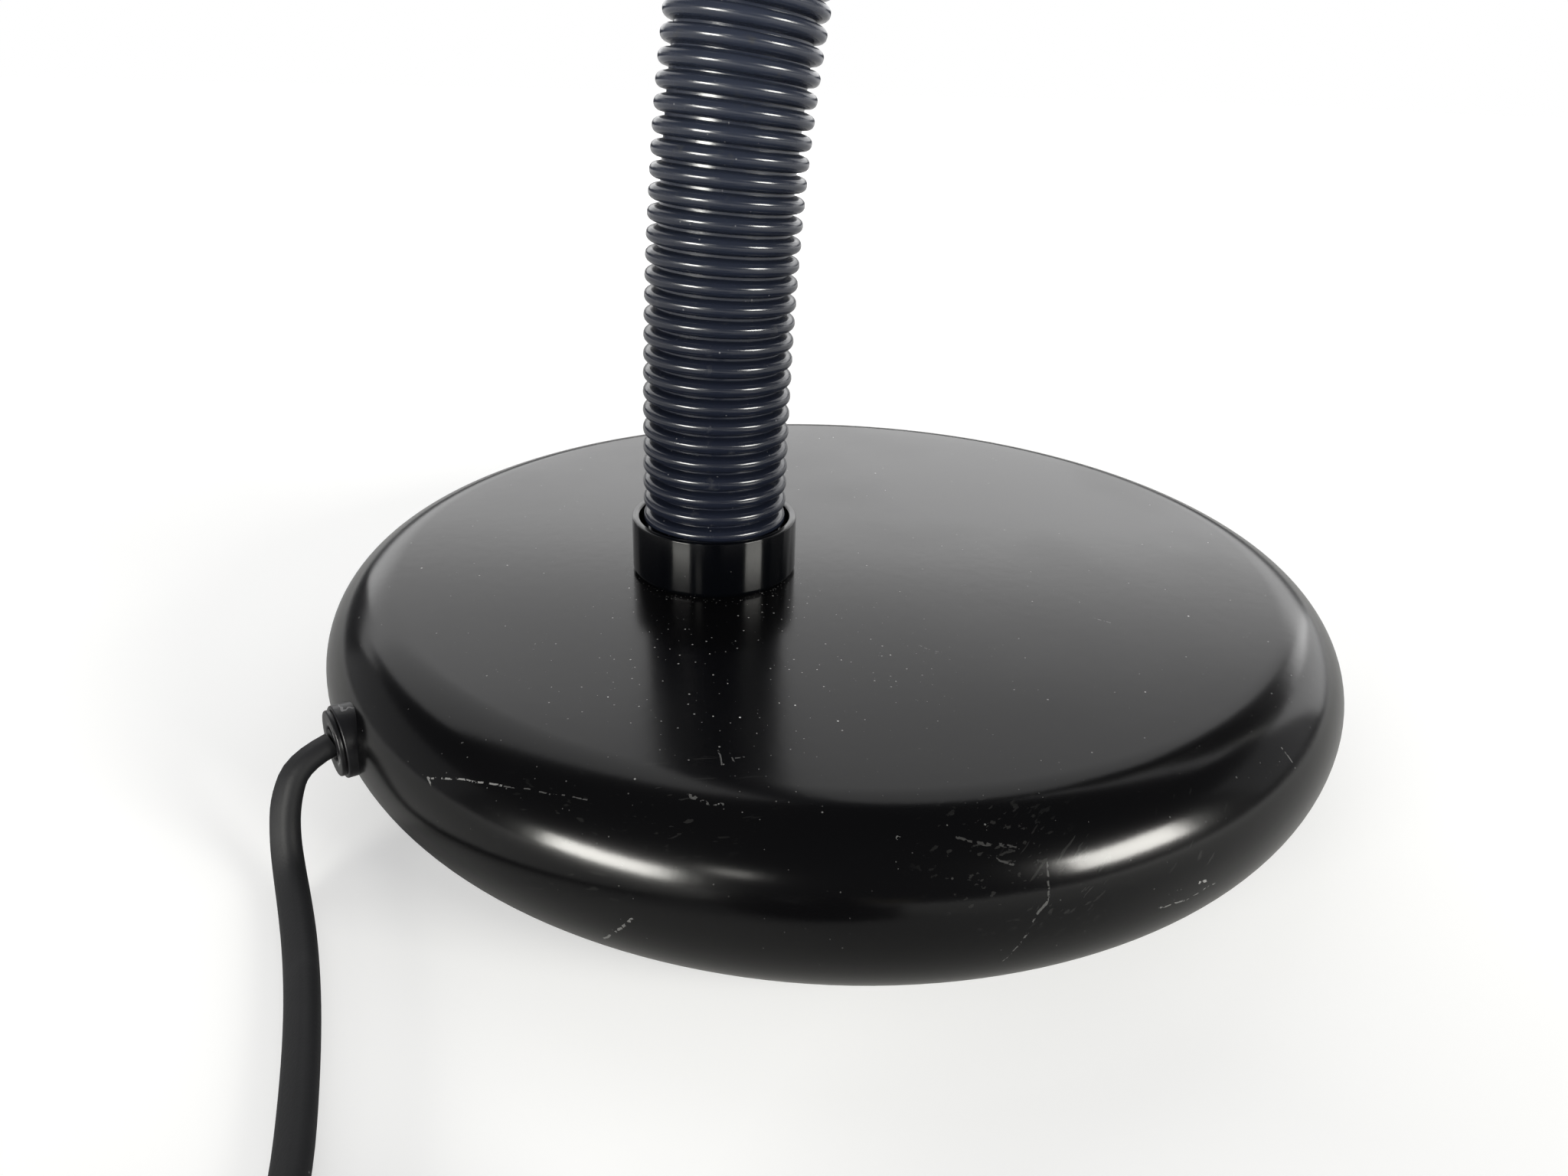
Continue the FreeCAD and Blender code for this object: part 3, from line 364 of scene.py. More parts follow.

# %% [markdown]
# The other finishes follow the same plan with their own numbers: gloss paint for the collars, blue-black
# vinyl for the sleeve, with a painted shade that darkens it low down near the foot and its highlights drawn
# out round each rib, moulded nylon and cord jacket, cast iron, plated steel, brass, phenolic and glass.
# Metals are metallic with a cloudy roughness; plastics are dark with a moulded grain.

# %% Paints and plastics
def coated(name, colour, roughness, *layers, metallic=0.0, specular=0.5):
    """A finish with its layers in order, each made by one of the three functions below."""
    material = finish(name, colour, roughness, metallic, specular)
    for socket, level, kind, numbers in layers:
        mask = mark(material, kind, **numbers)
        if socket == "Normal":
            raise_surface(material, mask, level)
        else:
            lay(material, mask, socket, level)
    return material


def tinted(kind, colour, **numbers):
    """A layer that colours where its mark is white."""
    return "Base Color", colour, kind, numbers


def dulled(kind, roughness, **numbers):
    """A layer that gives another roughness where its mark is white."""
    return "Roughness", roughness, kind, numbers


def embossed(kind, distance, **numbers):
    """A layer that raises the surface by its mark."""
    return "Normal", distance, kind, numbers


def lathe_gloss(name, axis):
    """Gloss black over turned metal: the fine rings draw each highlight out along the axis."""
    material = coated(name, (0.0010, 0.0012, 0.0018), 0.15,
                      tinted("specks", grey(0.10), Scale=900.0, Share=0.05, Size=0.12), specular=0.32)
    shader_of(material).inputs["Anisotropic"].default_value = 0.93
    along = wire(material.node_tree, "ShaderNodeCombineXYZ", *axis)
    material.node_tree.links.new(along.outputs[0], shader_of(material).inputs["Tangent"])
    return material


def draw_round(material, share):
    """Draws the highlights out round a tube, whose own direction is stored on it as "along"."""
    tree = material.node_tree
    along = wire(tree, "ShaderNodeAttribute", attribute_name="along").outputs["Vector"]
    skin = wire(tree, "ShaderNodeNewGeometry").outputs["Normal"]
    around = vector(tree, "CROSS_PRODUCT", along, skin)
    tree.links.new(around, shader_of(material).inputs["Tangent"])
    shader_of(material).inputs["Anisotropic"].default_value = share


sleeve_vinyl = finish("sleeve_vinyl", (0.0215, 0.0260, 0.0410), 0.17, specular=0.50)
# Painted shade: the sleeve's colour turns darker towards the foot, standing in for the dimmer light low on
# the neck.
painted_shade_low = nearness(sleeve_vinyl, NECK_FOOT, 0.030, 0.095)
lay(sleeve_vinyl, painted_shade_low, "Base Color", (0.0085, 0.0106, 0.0185))
lay(sleeve_vinyl, mark(sleeve_vinyl, "clouds", Scale=120.0, Low=0.45, High=0.7), "Roughness", 0.22)
draw_round(sleeve_vinyl, 0.86)
lay(sleeve_vinyl, mark(sleeve_vinyl, "clouds", Scale=420.0, Low=0.62, High=0.8), "Base Color",
    (0.028, 0.030, 0.036))
lay(sleeve_vinyl, mark(sleeve_vinyl, "specks", Scale=900.0, Share=0.25, Size=0.12), "Base Color",
    (0.14, 0.14, 0.15))
raise_surface(sleeve_vinyl, mark(sleeve_vinyl, "grain", Scale=700.0), 0.00002)

relief_nylon = coated(
    "relief_nylon", (0.007, 0.007, 0.0085), 0.36,
    tinted("hairlines", (0.12, 0.12, 0.125), Scale=140.0, Stretch=1.5, Width=0.012, Patches=0.45),
    embossed("grain", 0.00003, Scale=1200.0), specular=0.4)

cord_jacket = coated(
    "cord_jacket", (0.0095, 0.0098, 0.0115), 0.62,
    tinted("clouds", (0.020, 0.0205, 0.0225), Scale=60.0, Low=0.5, High=0.75),
    dulled("clouds", 0.68, Scale=260.0, Low=0.6, High=0.8),
    tinted("specks", (0.09, 0.09, 0.092), Scale=1300.0, Share=0.05, Size=0.16),
    embossed("grain", 0.00003, Scale=2200.0), specular=0.32)

plug_moulding = coated(
    "plug_moulding", (0.014, 0.014, 0.015), 0.5,
    dulled("clouds", 0.6, Scale=140.0), embossed("grain", 0.00005, Scale=1800.0))

tie_nylon = coated(
    "tie_nylon", (0.02, 0.02, 0.021), 0.7,
    embossed("grain", 0.0002, Scale=2600.0, Detail=4.0),
    tinted("grain", (0.05, 0.05, 0.052), Scale=2600.0, Detail=4.0))

shade_paint = coated(
    "shade_enamel", (0.0065, 0.0065, 0.0072), 0.24,
    dulled("clouds", 0.30, Scale=38.0, Low=0.42, High=0.66),
    tinted("specks", (0.18, 0.18, 0.19), Scale=700.0, Share=0.035, Size=0.13),
    embossed("grain", 0.000012, Scale=420.0))

shade_white = coated(
    "shade_white_enamel", (0.72, 0.715, 0.70), 0.38,
    tinted("clouds", (0.66, 0.65, 0.62), Scale=45.0, Low=0.5, High=0.8),
    embossed("grain", 0.00001, Scale=500.0))

phenolic = coated(
    "black_phenolic", (0.012, 0.0105, 0.010), 0.3,
    dulled("clouds", 0.42, Scale=160.0), embossed("grain", 0.00001, Scale=900.0))

knob_plastic = coated(
    "knob_plastic", (0.01, 0.01, 0.011), 0.28,
    dulled("clouds", 0.4, Scale=200.0), embossed("grain", 0.00001, Scale=1500.0))

switch_plastic = coated(
    "switch_plastic", (0.035, 0.035, 0.036), 0.45, embossed("grain", 0.00002, Scale=1500.0))

cover_paint = coated(
    "cover_paint", (0.02, 0.02, 0.021), 0.45, tinted("hairlines", grey(0.2), Scale=60.0))

felt = coated(
    "felt", (0.012, 0.012, 0.013), 0.95,
    tinted("grain", (0.045, 0.045, 0.048), Scale=900.0, Detail=6.0),
    embossed("grain", 0.0006, Scale=1600.0, Detail=6.0))
shader_of(felt).inputs["Sheen Weight"].default_value = 0.25

# %% Metals and glass
cast_iron = coated(
    "cast_iron", (0.17, 0.17, 0.175), 0.62,
    tinted("clouds", (0.09, 0.085, 0.08), Scale=60.0),
    embossed("grain", 0.0004, Scale=500.0, Detail=5.0), metallic=1.0)

plated_steel = coated(
    "plated_steel", (0.62, 0.62, 0.64), 0.24, dulled("clouds", 0.4, Scale=200.0), metallic=1.0)

core_steel = coated(
    "wound_steel", (0.45, 0.45, 0.46), 0.35, dulled("clouds", 0.5, Scale=300.0), metallic=1.0)

turned_steel = coated(
    "turned_steel", grey(0.6), 0.2,
    dulled("hairlines", 0.4, Scale=200.0, Width=0.02, Patches=0.4), metallic=1.0)

blade_metal = coated(
    "plug_blade_brass", (0.78, 0.70, 0.50), 0.22,
    dulled("hairlines", 0.42, Scale=120.0, Stretch=0.2, Width=0.02, Patches=0.4), metallic=1.0)

brass = coated(
    "bare_brass", (0.75, 0.58, 0.28), 0.25,
    dulled("clouds", 0.42, Scale=250.0),
    tinted("clouds", (0.5, 0.36, 0.17), Scale=120.0, Low=0.5, High=0.8), metallic=1.0)

thin_aluminium = coated(
    "pressed_aluminium", (0.80, 0.80, 0.81), 0.28, dulled("clouds", 0.42, Scale=300.0), metallic=1.0)

frosted_glass = coated(
    "frosted_glass", (0.93, 0.93, 0.91), 0.42, embossed("grain", 0.000012, Scale=1400.0))
shader_of(frosted_glass).inputs["Transmission Weight"].default_value = 0.55
shader_of(frosted_glass).inputs["Subsurface Weight"].default_value = 0.3
shader_of(frosted_glass).inputs["Subsurface Scale"].default_value = 0.01

clear_glass = coated("clear_glass", (0.95, 0.96, 0.96), 0.04, dulled("clouds", 0.08, Scale=200.0))
shader_of(clear_glass).inputs["Transmission Weight"].default_value = 1.0

insulator_glass = coated(
    "black_insulator", (0.01, 0.01, 0.012), 0.12, dulled("clouds", 0.25, Scale=300.0))
print("finishes:", len(bpy.data.materials))

# %% [markdown]
# The mains cord is a flat twin lead about 4.8 mm wide and 3 mm thick and 1.8 m long. It comes straight out
# of its strain relief, falls to the table and runs along it. The length that the photograph doesn't show
# is wound into a coil of nine turns, three beside and three above one another, and the plug lies on top.
# One NURBS spline is the whole line: a short list of points for the loose part and a loop for the
# turns. Where a turn changes column or layer, it does so in its own stretch, one turn after another, so
# that no two ever lie in each other.

# %% The cord's line
CORD_WIDTH = 0.0048
CORD_THICK = 0.0030
cord_exit = Vector((-0.08814, -0.01554, 0.0175))
LOOSE_POINTS = [
    (-0.0928, -0.0167, 0.0164),
    (-0.0953, -0.0186, 0.0119),
    (-0.0962, -0.0204, 0.0068),
    (-0.0963, -0.0239, 0.0032),
    (-0.0961, -0.0295, 0.00205),
    (-0.0959, -0.0385, 0.00205),
    (-0.0962, -0.0495, 0.00205),
    (-0.0972, -0.0615, 0.00205),
    (-0.0989, -0.0750, 0.0021),
    (-0.1026, -0.0890, 0.0022),
    (-0.1069, -0.1035, 0.0025),
    (-0.1099, -0.1180, 0.0031),
]
LEAVING_POINTS = [
    (-0.0892, -0.1184, 0.0197),
    (-0.0975, -0.1212, 0.0207),
    (-0.1048, -0.1259, 0.0214),
    (-0.1108, -0.1322, 0.0220),
    (-0.1149, -0.1393, 0.0226),
    (-0.1168, -0.1468, 0.0234),
    (-0.1161, -0.1541, 0.0242),
    (-0.1126, -0.1606, 0.0249),
    (-0.1070, -0.1651, 0.0253),
    (-0.1014, -0.1669, 0.0255),
    (-0.0960, -0.1670, 0.0255),
    (-0.0900, -0.1670, 0.0255),
]
COIL_CENTRE = Vector((-0.0804, -0.1430, 0))
COIL_POINTS_PER_TURN = 24
COIL_FIRST_ANGLE = 165
COIL_LAST_ANGLE = 60 + 360 * 9
INNER_TURN = 0.0255
COLUMN_STEP = 0.0035
LOWEST_LAYER = 0.0035
LAYER_STEP = 0.0059
COLUMNS = (2, 1, 0, 0, 1, 2, 2, 1, 0, 0)
LAYERS = (0, 0, 0, 1, 1, 1, 2, 2, 2, 2)
CHANGE_STARTS = (216, 216, 175, 134, 134, 93, 52, 52)
CHANGE_LENGTH = 90
TURN_START = 157.5
COIL_END_RISE = 0.0010
RISING_POINTS = ((0.0066, 0.0247, 0.0178), (-0.0005, 0.0256, 0.0188))
DRAWN_PER_POINT = 5


def eased(share):
    """The share with a soft start and finish, held between 0 and 1."""
    share = min(max(share, 0.0), 1.0)
    return share * share * (3 - 2 * share)


def coil_point(angle):
    """Where the line is after turning to this angle, counted on over the turns."""
    turn, since = divmod(angle - TURN_START, 360)
    turn = int(turn)
    moved = eased((since - CHANGE_STARTS[turn]) / CHANGE_LENGTH) if turn < len(CHANGE_STARTS) else 0.0
    column = COLUMNS[turn] + (COLUMNS[turn + 1] - COLUMNS[turn]) * moved
    layer = LAYERS[turn] + (LAYERS[turn + 1] - LAYERS[turn]) * moved
    half_step = math.pi / COIL_POINTS_PER_TURN
    radius = (INNER_TURN + COLUMN_STEP * column) / math.cos(half_step)
    way = math.radians(angle)
    return COIL_CENTRE + Vector((radius * math.cos(way), radius * math.sin(way),
                                 LOWEST_LAYER + LAYER_STEP * layer))


step = 360 / COIL_POINTS_PER_TURN
coil_points = [coil_point(COIL_FIRST_ANGLE + step * i)
               for i in range(int((COIL_LAST_ANGLE - COIL_FIRST_ANGLE) / step) + 1)]
coil_points[-1].z += COIL_END_RISE
rising = [COIL_CENTRE + Vector(place) for place in RISING_POINTS]
cord_points = [cord_exit, *map(Vector, LOOSE_POINTS), *coil_points, *rising, *map(Vector, LEAVING_POINTS)]


def nurbs_line(name, points, resolution):
    """A smooth open curve with these control points."""
    curve = bpy.data.curves.new(name, "CURVE")
    curve.dimensions = "3D"
    curve.resolution_u = resolution
    spline = curve.splines.new("NURBS")
    spline.points.add(len(points) - 1)
    for place, point in zip(spline.points, points):
        place.co = (*point, 1)
    spline.order_u = 3
    spline.use_endpoint_u = True
    line = bpy.data.objects.new(name, curve)
    bpy.context.scene.collection.objects.link(line)
    return line


def points_along(line):
    """The points of a curve object, read as Blender draws it, and then the curve is removed."""
    bpy.context.view_layer.update()
    drawn = bpy.data.meshes.new_from_object(line)
    points = [vertex.co.copy() for vertex in drawn.vertices]
    bpy.data.meshes.remove(drawn)
    bpy.data.objects.remove(line)
    return points


def length_of(points):
    """The length of a line through these points."""
    return sum((b - a).length for a, b in zip(points, points[1:]))


cord_line = points_along(nurbs_line("cord_line", cord_points, DRAWN_PER_POINT))
print(f"cord: {len(cord_points)} control points, {len(cord_line)} drawn, {length_of(cord_line):.3f} m")

# %% [markdown]
# A flat cord can't be a bevelled curve, because it has to lie the right way round: leaning over where it
# leaves the lamp and on edge in the coil, where it bends the easy way. So its section, a rounded slot
# shape, is carried along the line in mesh code, with the way that it is wide given at a few distances.

# %% Sweeping a section along a line
def bridge(shape, ring, other):
    """Faces all round between two rings of as many points."""
    for i in range(len(ring)):
        j = (i + 1) % len(ring)
        shape.faces.new((ring[i], ring[j], other[j], other[i]))


def swept(points, sections, sides):
    """A closed mesh: each section is a ring of (across, above) round its point, across lying along sides."""
    shape = bmesh.new()
    rings = []
    for i, (point, section, side) in enumerate(zip(points, sections, sides)):
        ahead = (points[min(i + 1, len(points) - 1)] - points[max(i - 1, 0)]).normalized()
        across = (side - ahead * side.dot(ahead)).normalized()
        above = ahead.cross(across)
        rings.append([shape.verts.new(point + across * a + above * b) for a, b in section])
    for ring, other in zip(rings, rings[1:]):
        bridge(shape, ring, other)
    shape.faces.new(rings[0][::-1])
    shape.faces.new(rings[-1])
    bmesh.ops.recalc_face_normals(shape, faces=shape.faces)
    return shape


def slot_section(width, thick, steps=8):
    """A flat shape with half-round ends."""
    round_end = thick / 2
    flat = width / 2 - round_end
    ring = []
    for side, first in ((1, -90), (-1, 90)):
        for i in range(steps + 1):
            angle = math.radians(first + 180 * i / steps)
            ring.append((side * flat + round_end * math.cos(angle), round_end * math.sin(angle)))
    return ring


def soften(shape, degrees=35):
    """Smooth shading that stays crisp at edges sharper than this."""
    for face in shape.faces:
        face.smooth = True
    for edge in shape.edges:
        if len(edge.link_faces) == 2 and edge.calc_face_angle(0) > math.radians(degrees):
            edge.smooth = False


def piece(name, shape, materials, place=None):
    """The finished object of a mesh under construction, with its place put into its vertices."""
    mesh = bpy.data.meshes.new(name)
    soften(shape)
    shape.to_mesh(mesh)
    shape.free()
    if place is not None:
        mesh.transform(place)
    for material in materials:
        mesh.materials.append(material)
    thing = bpy.data.objects.new(name, mesh)
    bpy.context.scene.collection.objects.link(thing)
    return thing


def add_to(shape, other, place=None):
    """Puts one mesh under construction into another, moved to its place."""
    carried = bpy.data.meshes.new("carried")
    other.to_mesh(carried)
    other.free()
    if place is not None:
        carried.transform(place)
    shape.from_mesh(carried)
    bpy.data.meshes.remove(carried)


def settle(thing, body, slot, *nodes):
    """The piece rides on its body and stands for these solid parts. The slot is not used."""
    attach(thing, body)
    if nodes:
        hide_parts(*nodes)
    print(f"{thing.name}: {len(thing.data.polygons)} faces on {body}")
    return thing


# %% The cord itself
LYING = (
    (0.000, (0.25, -0.93, 0.27)),
    (0.012, (0.60, -0.78, 0.15)),
    (0.024, (0.72, -0.45, 0.52)),
    (0.045, (0.80, 0.0, 0.60)),
    (0.075, (0.84, 0.0, 0.54)),
    (0.100, (0.70, 0.0, 0.70)),
    (0.135, (0.10, 0.0, 1.0)),
    (1.760, (0.0, 0.0, 1.0)),
    (1.790, (0.0, 1.0, 0.15)),
    (2.000, (0.0, 1.0, 0.0)),
)


def lying_at(distance):
    """The way that the cord is wide at this distance from the lamp."""
    for (start, before), (end, after) in zip(LYING, LYING[1:]):
        if distance <= end:
            return Vector(before).lerp(Vector(after), eased((distance - start) / (end - start)))
    return Vector(LYING[-1][1])


distances = [0.0]
for a, b in zip(cord_line, cord_line[1:]):
    distances.append(distances[-1] + (b - a).length)
sides = [lying_at(distance) for distance in distances]
section = slot_section(CORD_WIDTH, CORD_THICK)
cord = piece("mains_lead", swept(cord_line, [section] * len(cord_line), sides), [cord_jacket])
settle(cord, "base", "cord_jacket", "mains_cord", "cord_coil")

# %% [markdown]
# Most of the lamp is turned: the foot, the collars, the shade, the lampholder and the bulb are outlines
# spun round an axis. A spin in mesh code is used and not a Screw modifier, because poles and closed walls
# can be stitched as they are made. Corners get a small rounding, which is what catches the light.

# %% Turning
def rounded(corners, steps=5):
    """An outline of (radius, height) in millimetres, with a rounding where a corner gives a third number."""
    line = []
    for i, corner in enumerate(corners):
        here = Vector(corner[:2])
        rounding = corner[2] if len(corner) > 2 else 0
        if not rounding:
            line.append(here)
            continue
        before = Vector(corners[i - 1][:2])
        after = Vector(corners[(i + 1) % len(corners)][:2])
        back, on = (before - here).normalized(), (after - here).normalized()
        half = math.acos(max(-1.0, min(1.0, back.dot(on)))) / 2
        trim = rounding / math.tan(half)
        centre = here + (back + on).normalized() * (rounding / math.sin(half))
        first, final = here + back * trim - centre, here + on * trim - centre
        sweep = first.angle_signed(final)
        for k in range(steps + 1):
            turn = -sweep * k / steps
            line.append(centre + Vector((first.x * math.cos(turn) - first.y * math.sin(turn),
                                         first.x * math.sin(turn) + first.y * math.cos(turn))))
    return line


def arc(centre, radius, first, final, steps):
    """Points on a circle, in millimetres, from one angle to another."""
    return [Vector((centre[0] + radius * math.cos(math.radians(first + (final - first) * i / steps)),
                    centre[1] + radius * math.sin(math.radians(first + (final - first) * i / steps))))
            for i in range(steps + 1)]


def turned(line, segments=96, closed=False):
    """The outline spun round Z. Points with no radius become one pole; closed joins its end to its start."""
    shape = bmesh.new()
    rings = []
    for radius, height in line:
        if radius < 1e-6:
            rings.append([shape.verts.new((0, 0, height / 1000))])
            continue
        rings.append([shape.verts.new((radius / 1000 * math.cos(math.tau * i / segments),
                                       radius / 1000 * math.sin(math.tau * i / segments), height / 1000))
                      for i in range(segments)])
    pairs = list(zip(rings, rings[1:])) + ([(rings[-1], rings[0])] if closed else [])
    for low, high in pairs:
        for i in range(segments):
            j = (i + 1) % segments
            corners = [low[i % len(low)], low[j % len(low)], high[j % len(high)], high[i % len(high)]]
            corners = list(dict.fromkeys(corners))
            if len(corners) > 2:
                shape.faces.new(corners)
    bmesh.ops.recalc_face_normals(shape, faces=shape.faces)
    return shape


# %% [markdown]
# The foot's shell is pressed from sheet: a flat top, a rounded shoulder, a heel that runs in under it and
# a rolled lip. The outline is the solid model's own, point by point in arcs, outside and then back inside,
# with many steps in the shoulder, since the long highlights on it show every flat.

# %% The foot's shell
BASE_RADIUS, BASE_HEIGHT, WAIST, WALL = 87.5, 29.0, 16.8, 0.9
FELT, ROLL, HEEL_TURN, LIP = 1.2, 3.3, 60.0, 71.0
SHOULDER = BASE_HEIGHT - WAIST
turn_sine = math.sin(math.radians(HEEL_TURN))
HEEL = (WAIST - FELT - ROLL * (1 - turn_sine)) / turn_sine
roll_centre = (BASE_RADIUS - HEEL + (HEEL - ROLL) * math.cos(math.radians(HEEL_TURN)), FELT + ROLL)


def shell_side(inset, steps):
    """The shell's shoulder, heel and rolled lip, inset from its outer face."""
    shoulder = arc((BASE_RADIUS - SHOULDER, WAIST), SHOULDER - inset, 90, 0, steps)
    heel = arc((BASE_RADIUS - HEEL, WAIST), HEEL - inset, 0, -HEEL_TURN, steps)
    roll = arc(roll_centre, ROLL - inset, -HEEL_TURN, -90, steps // 3)
    return shoulder + heel[1:] + roll[1:]


top_rings = [Vector((radius, BASE_HEIGHT)) for radius in (0, 6, 14, 24, 36, 48, 60, 70)]
lower_rings = [Vector((radius, BASE_HEIGHT - WALL)) for radius in (60, 30, 0)]
shell_line = (top_rings + shell_side(0, 30) + [Vector((LIP, FELT)), Vector((LIP, FELT + WALL))]
              + shell_side(WALL, 12)[::-1] + lower_rings)
foot_shell = piece("foot_shell", turned(shell_line, 192), [base_paint])
settle(foot_shell, "base", "base_paint", "base_shell")

# %% [markdown]
# Each end of the neck sits in a short collar. It is a plain turned cup with a crisp rim, and its gloss
# comes from the paint. One outline serves both; the upper one is the same cup upside down on the head.
# The neck's line gives every place above the foot, so it is worked out first: arcs that meet without a
# kink and bend more and more towards the top, exactly as in the solid model.

# %% The neck's line
FOOT_OFFSET, NECK_LENGTH = 23.0, 340.0
FIRST_HINGE, LINK, LINKS, BALL = 22.0, 28.4, 10, 14.0
BEND_START, BEND_GROWTH = 0.0192, 0.00189
hinges = [FIRST_HINGE + LINK * i for i in range(LINKS + 1)]


def after_arc(point, tilt, bend, length):
    """Where an arc ends and its tilt there; tilts are degrees, bend is degrees per mm."""
    end = tilt + bend * length
    first, final = math.radians(tilt), math.radians(end)
    reach = math.degrees(1) / bend
    across, up = math.cos(first) - math.cos(final), math.sin(final) - math.sin(first)
    return point + Vector((across, 0, up)) * reach, end


neck_arcs = []
point, tilt = Vector((-FOOT_OFFSET, 0, BASE_HEIGHT)), 0.0
neck_marks = [0.0] + [hinge + BALL for hinge in hinges] + [NECK_LENGTH]
for start, end in zip(neck_marks, neck_marks[1:]):
    bend = BEND_START + BEND_GROWTH * (start + end) / 2
    neck_arcs.append((start, point, tilt, bend))
    point, tilt = after_arc(point, tilt, bend, end - start)


def neck_place(station):
    """A matrix on the neck's line, in metres, its Z along the neck; station is in millimetres."""
    start, point, tilt, bend = [each for each in neck_arcs if each[0] <= max(station, 0.0)][-1]
    here, turn = after_arc(point, tilt, bend, station - start)
    return Matrix.Translation(here / 1000) @ Matrix.Rotation(math.radians(turn), 4, "Y")


HEAD = neck_place(NECK_LENGTH)
FLIPPED_HEAD = HEAD @ Matrix.Rotation(math.pi, 4, "X")
FOOT = Matrix.Translation((-FOOT_OFFSET / 1000, 0, BASE_HEIGHT / 1000))
print("head starts at", [round(number, 4) for number in HEAD.translation])

# %% The collars
COLLAR_LINE = rounded([
    (5.2, 0.0), (13.6, 0.0, 0.15), (13.95, 0.7, 0.3), (13.9, 9.5, 0.18), (12.7, 9.5, 0.25),
    (12.5, 1.5), (5.2, 1.5),
], 4)
COLLARS = (
    ("collar_foot", FOOT, 128, "base", "neck_collar"),
    ("collar_head", FLIPPED_HEAD, 96, "head", "head_collar"),
)
for name, place, steps, owner, replaced in COLLARS:
    gloss = lathe_gloss(name + "_gloss", place.col[2][:3])
    settle(piece(name, turned(COLLAR_LINE, steps, True), [gloss], place), owner, "collar_paint", replaced)

# %% [markdown]
# The neck's sleeve is one soft tube with moulded rings round it, about eight to the inch. Rings that
# follow a line are work for Geometry Nodes: the line goes in, its width swells and shrinks with distance
# by a rule, and a circle is drawn along it. The sleeve has to bend at eleven hidden hinges, so it is made
# in eleven lengths that meet in the valleys between ribs, where a join can't be seen.

# %% Geometry Nodes: helpers and the ribbed sleeve
def geometry_group(name, numbers):
    """A geometry node tree with number inputs and a material input for its last node, and its inputs."""
    group = bpy.data.node_groups.new(name, "GeometryNodeTree")
    face = group.interface
    face.new_socket("Geometry", in_out="INPUT", socket_type="NodeSocketGeometry")
    for label, number in numbers.items():
        kind = "NodeSocketInt" if isinstance(number, int) else "NodeSocketFloat"
        face.new_socket(label, in_out="INPUT", socket_type=kind).default_value = number
    face.new_socket("Finish", in_out="INPUT", socket_type="NodeSocketMaterial")
    face.new_socket("Geometry", in_out="OUTPUT", socket_type="NodeSocketGeometry")
    return group, group.nodes.new("NodeGroupInput").outputs


def finish_group(group, given, geometry, selection=None):
    """The end of every tree: real geometry, smooth, in its finish."""
    smooth = wire(group, "GeometryNodeSetShadeSmooth", geometry)
    real = wire(group, "GeometryNodeRealizeInstances", smooth.outputs[0])
    coat = wire(group, "GeometryNodeSetMaterial", real.outputs[0], selection, given["Finish"])
    group.links.new(coat.outputs[0], group.nodes.new("NodeGroupOutput").inputs[0])
    return group


def soften_mesh(mesh):
    """Smooth shading with crisp edges, on a mesh that is already made."""
    shape = bmesh.new()
    shape.from_mesh(mesh)
    soften(shape)
    shape.to_mesh(mesh)
    shape.free()


def as_evaluated(thing):
    """A plain mesh of the object as its modifiers make it."""
    thing.update_tag()
    bpy.context.view_layer.update()
    seen = thing.evaluated_get(bpy.context.evaluated_depsgraph_get())
    return bpy.data.meshes.new_from_object(seen)


def grown(thing, group, material, **numbers):
    """Runs a tree on an object and gives the result back as a plain object with no modifier."""
    live = thing.modifiers.new(group.name, "NODES")
    live.node_group = group
    sockets = {item.name: item.identifier for item in group.interface.items_tree if item.in_out == "INPUT"}
    live[sockets["Finish"]] = material
    for label, number in numbers.items():
        live[sockets[label]] = number
    mesh = as_evaluated(thing)
    name = thing.name
    bpy.data.objects.remove(thing)
    made = bpy.data.objects.new(name, mesh)
    bpy.context.scene.collection.objects.link(made)
    soften_mesh(mesh)
    return made


def off_middle(group, count):
    """How far a running count is from the middle between two whole numbers, from 0 to a half."""
    share = maths(group, "FRACT", count)
    return maths(group, "ABSOLUTE", maths(group, "SUBTRACT", share, 0.5))


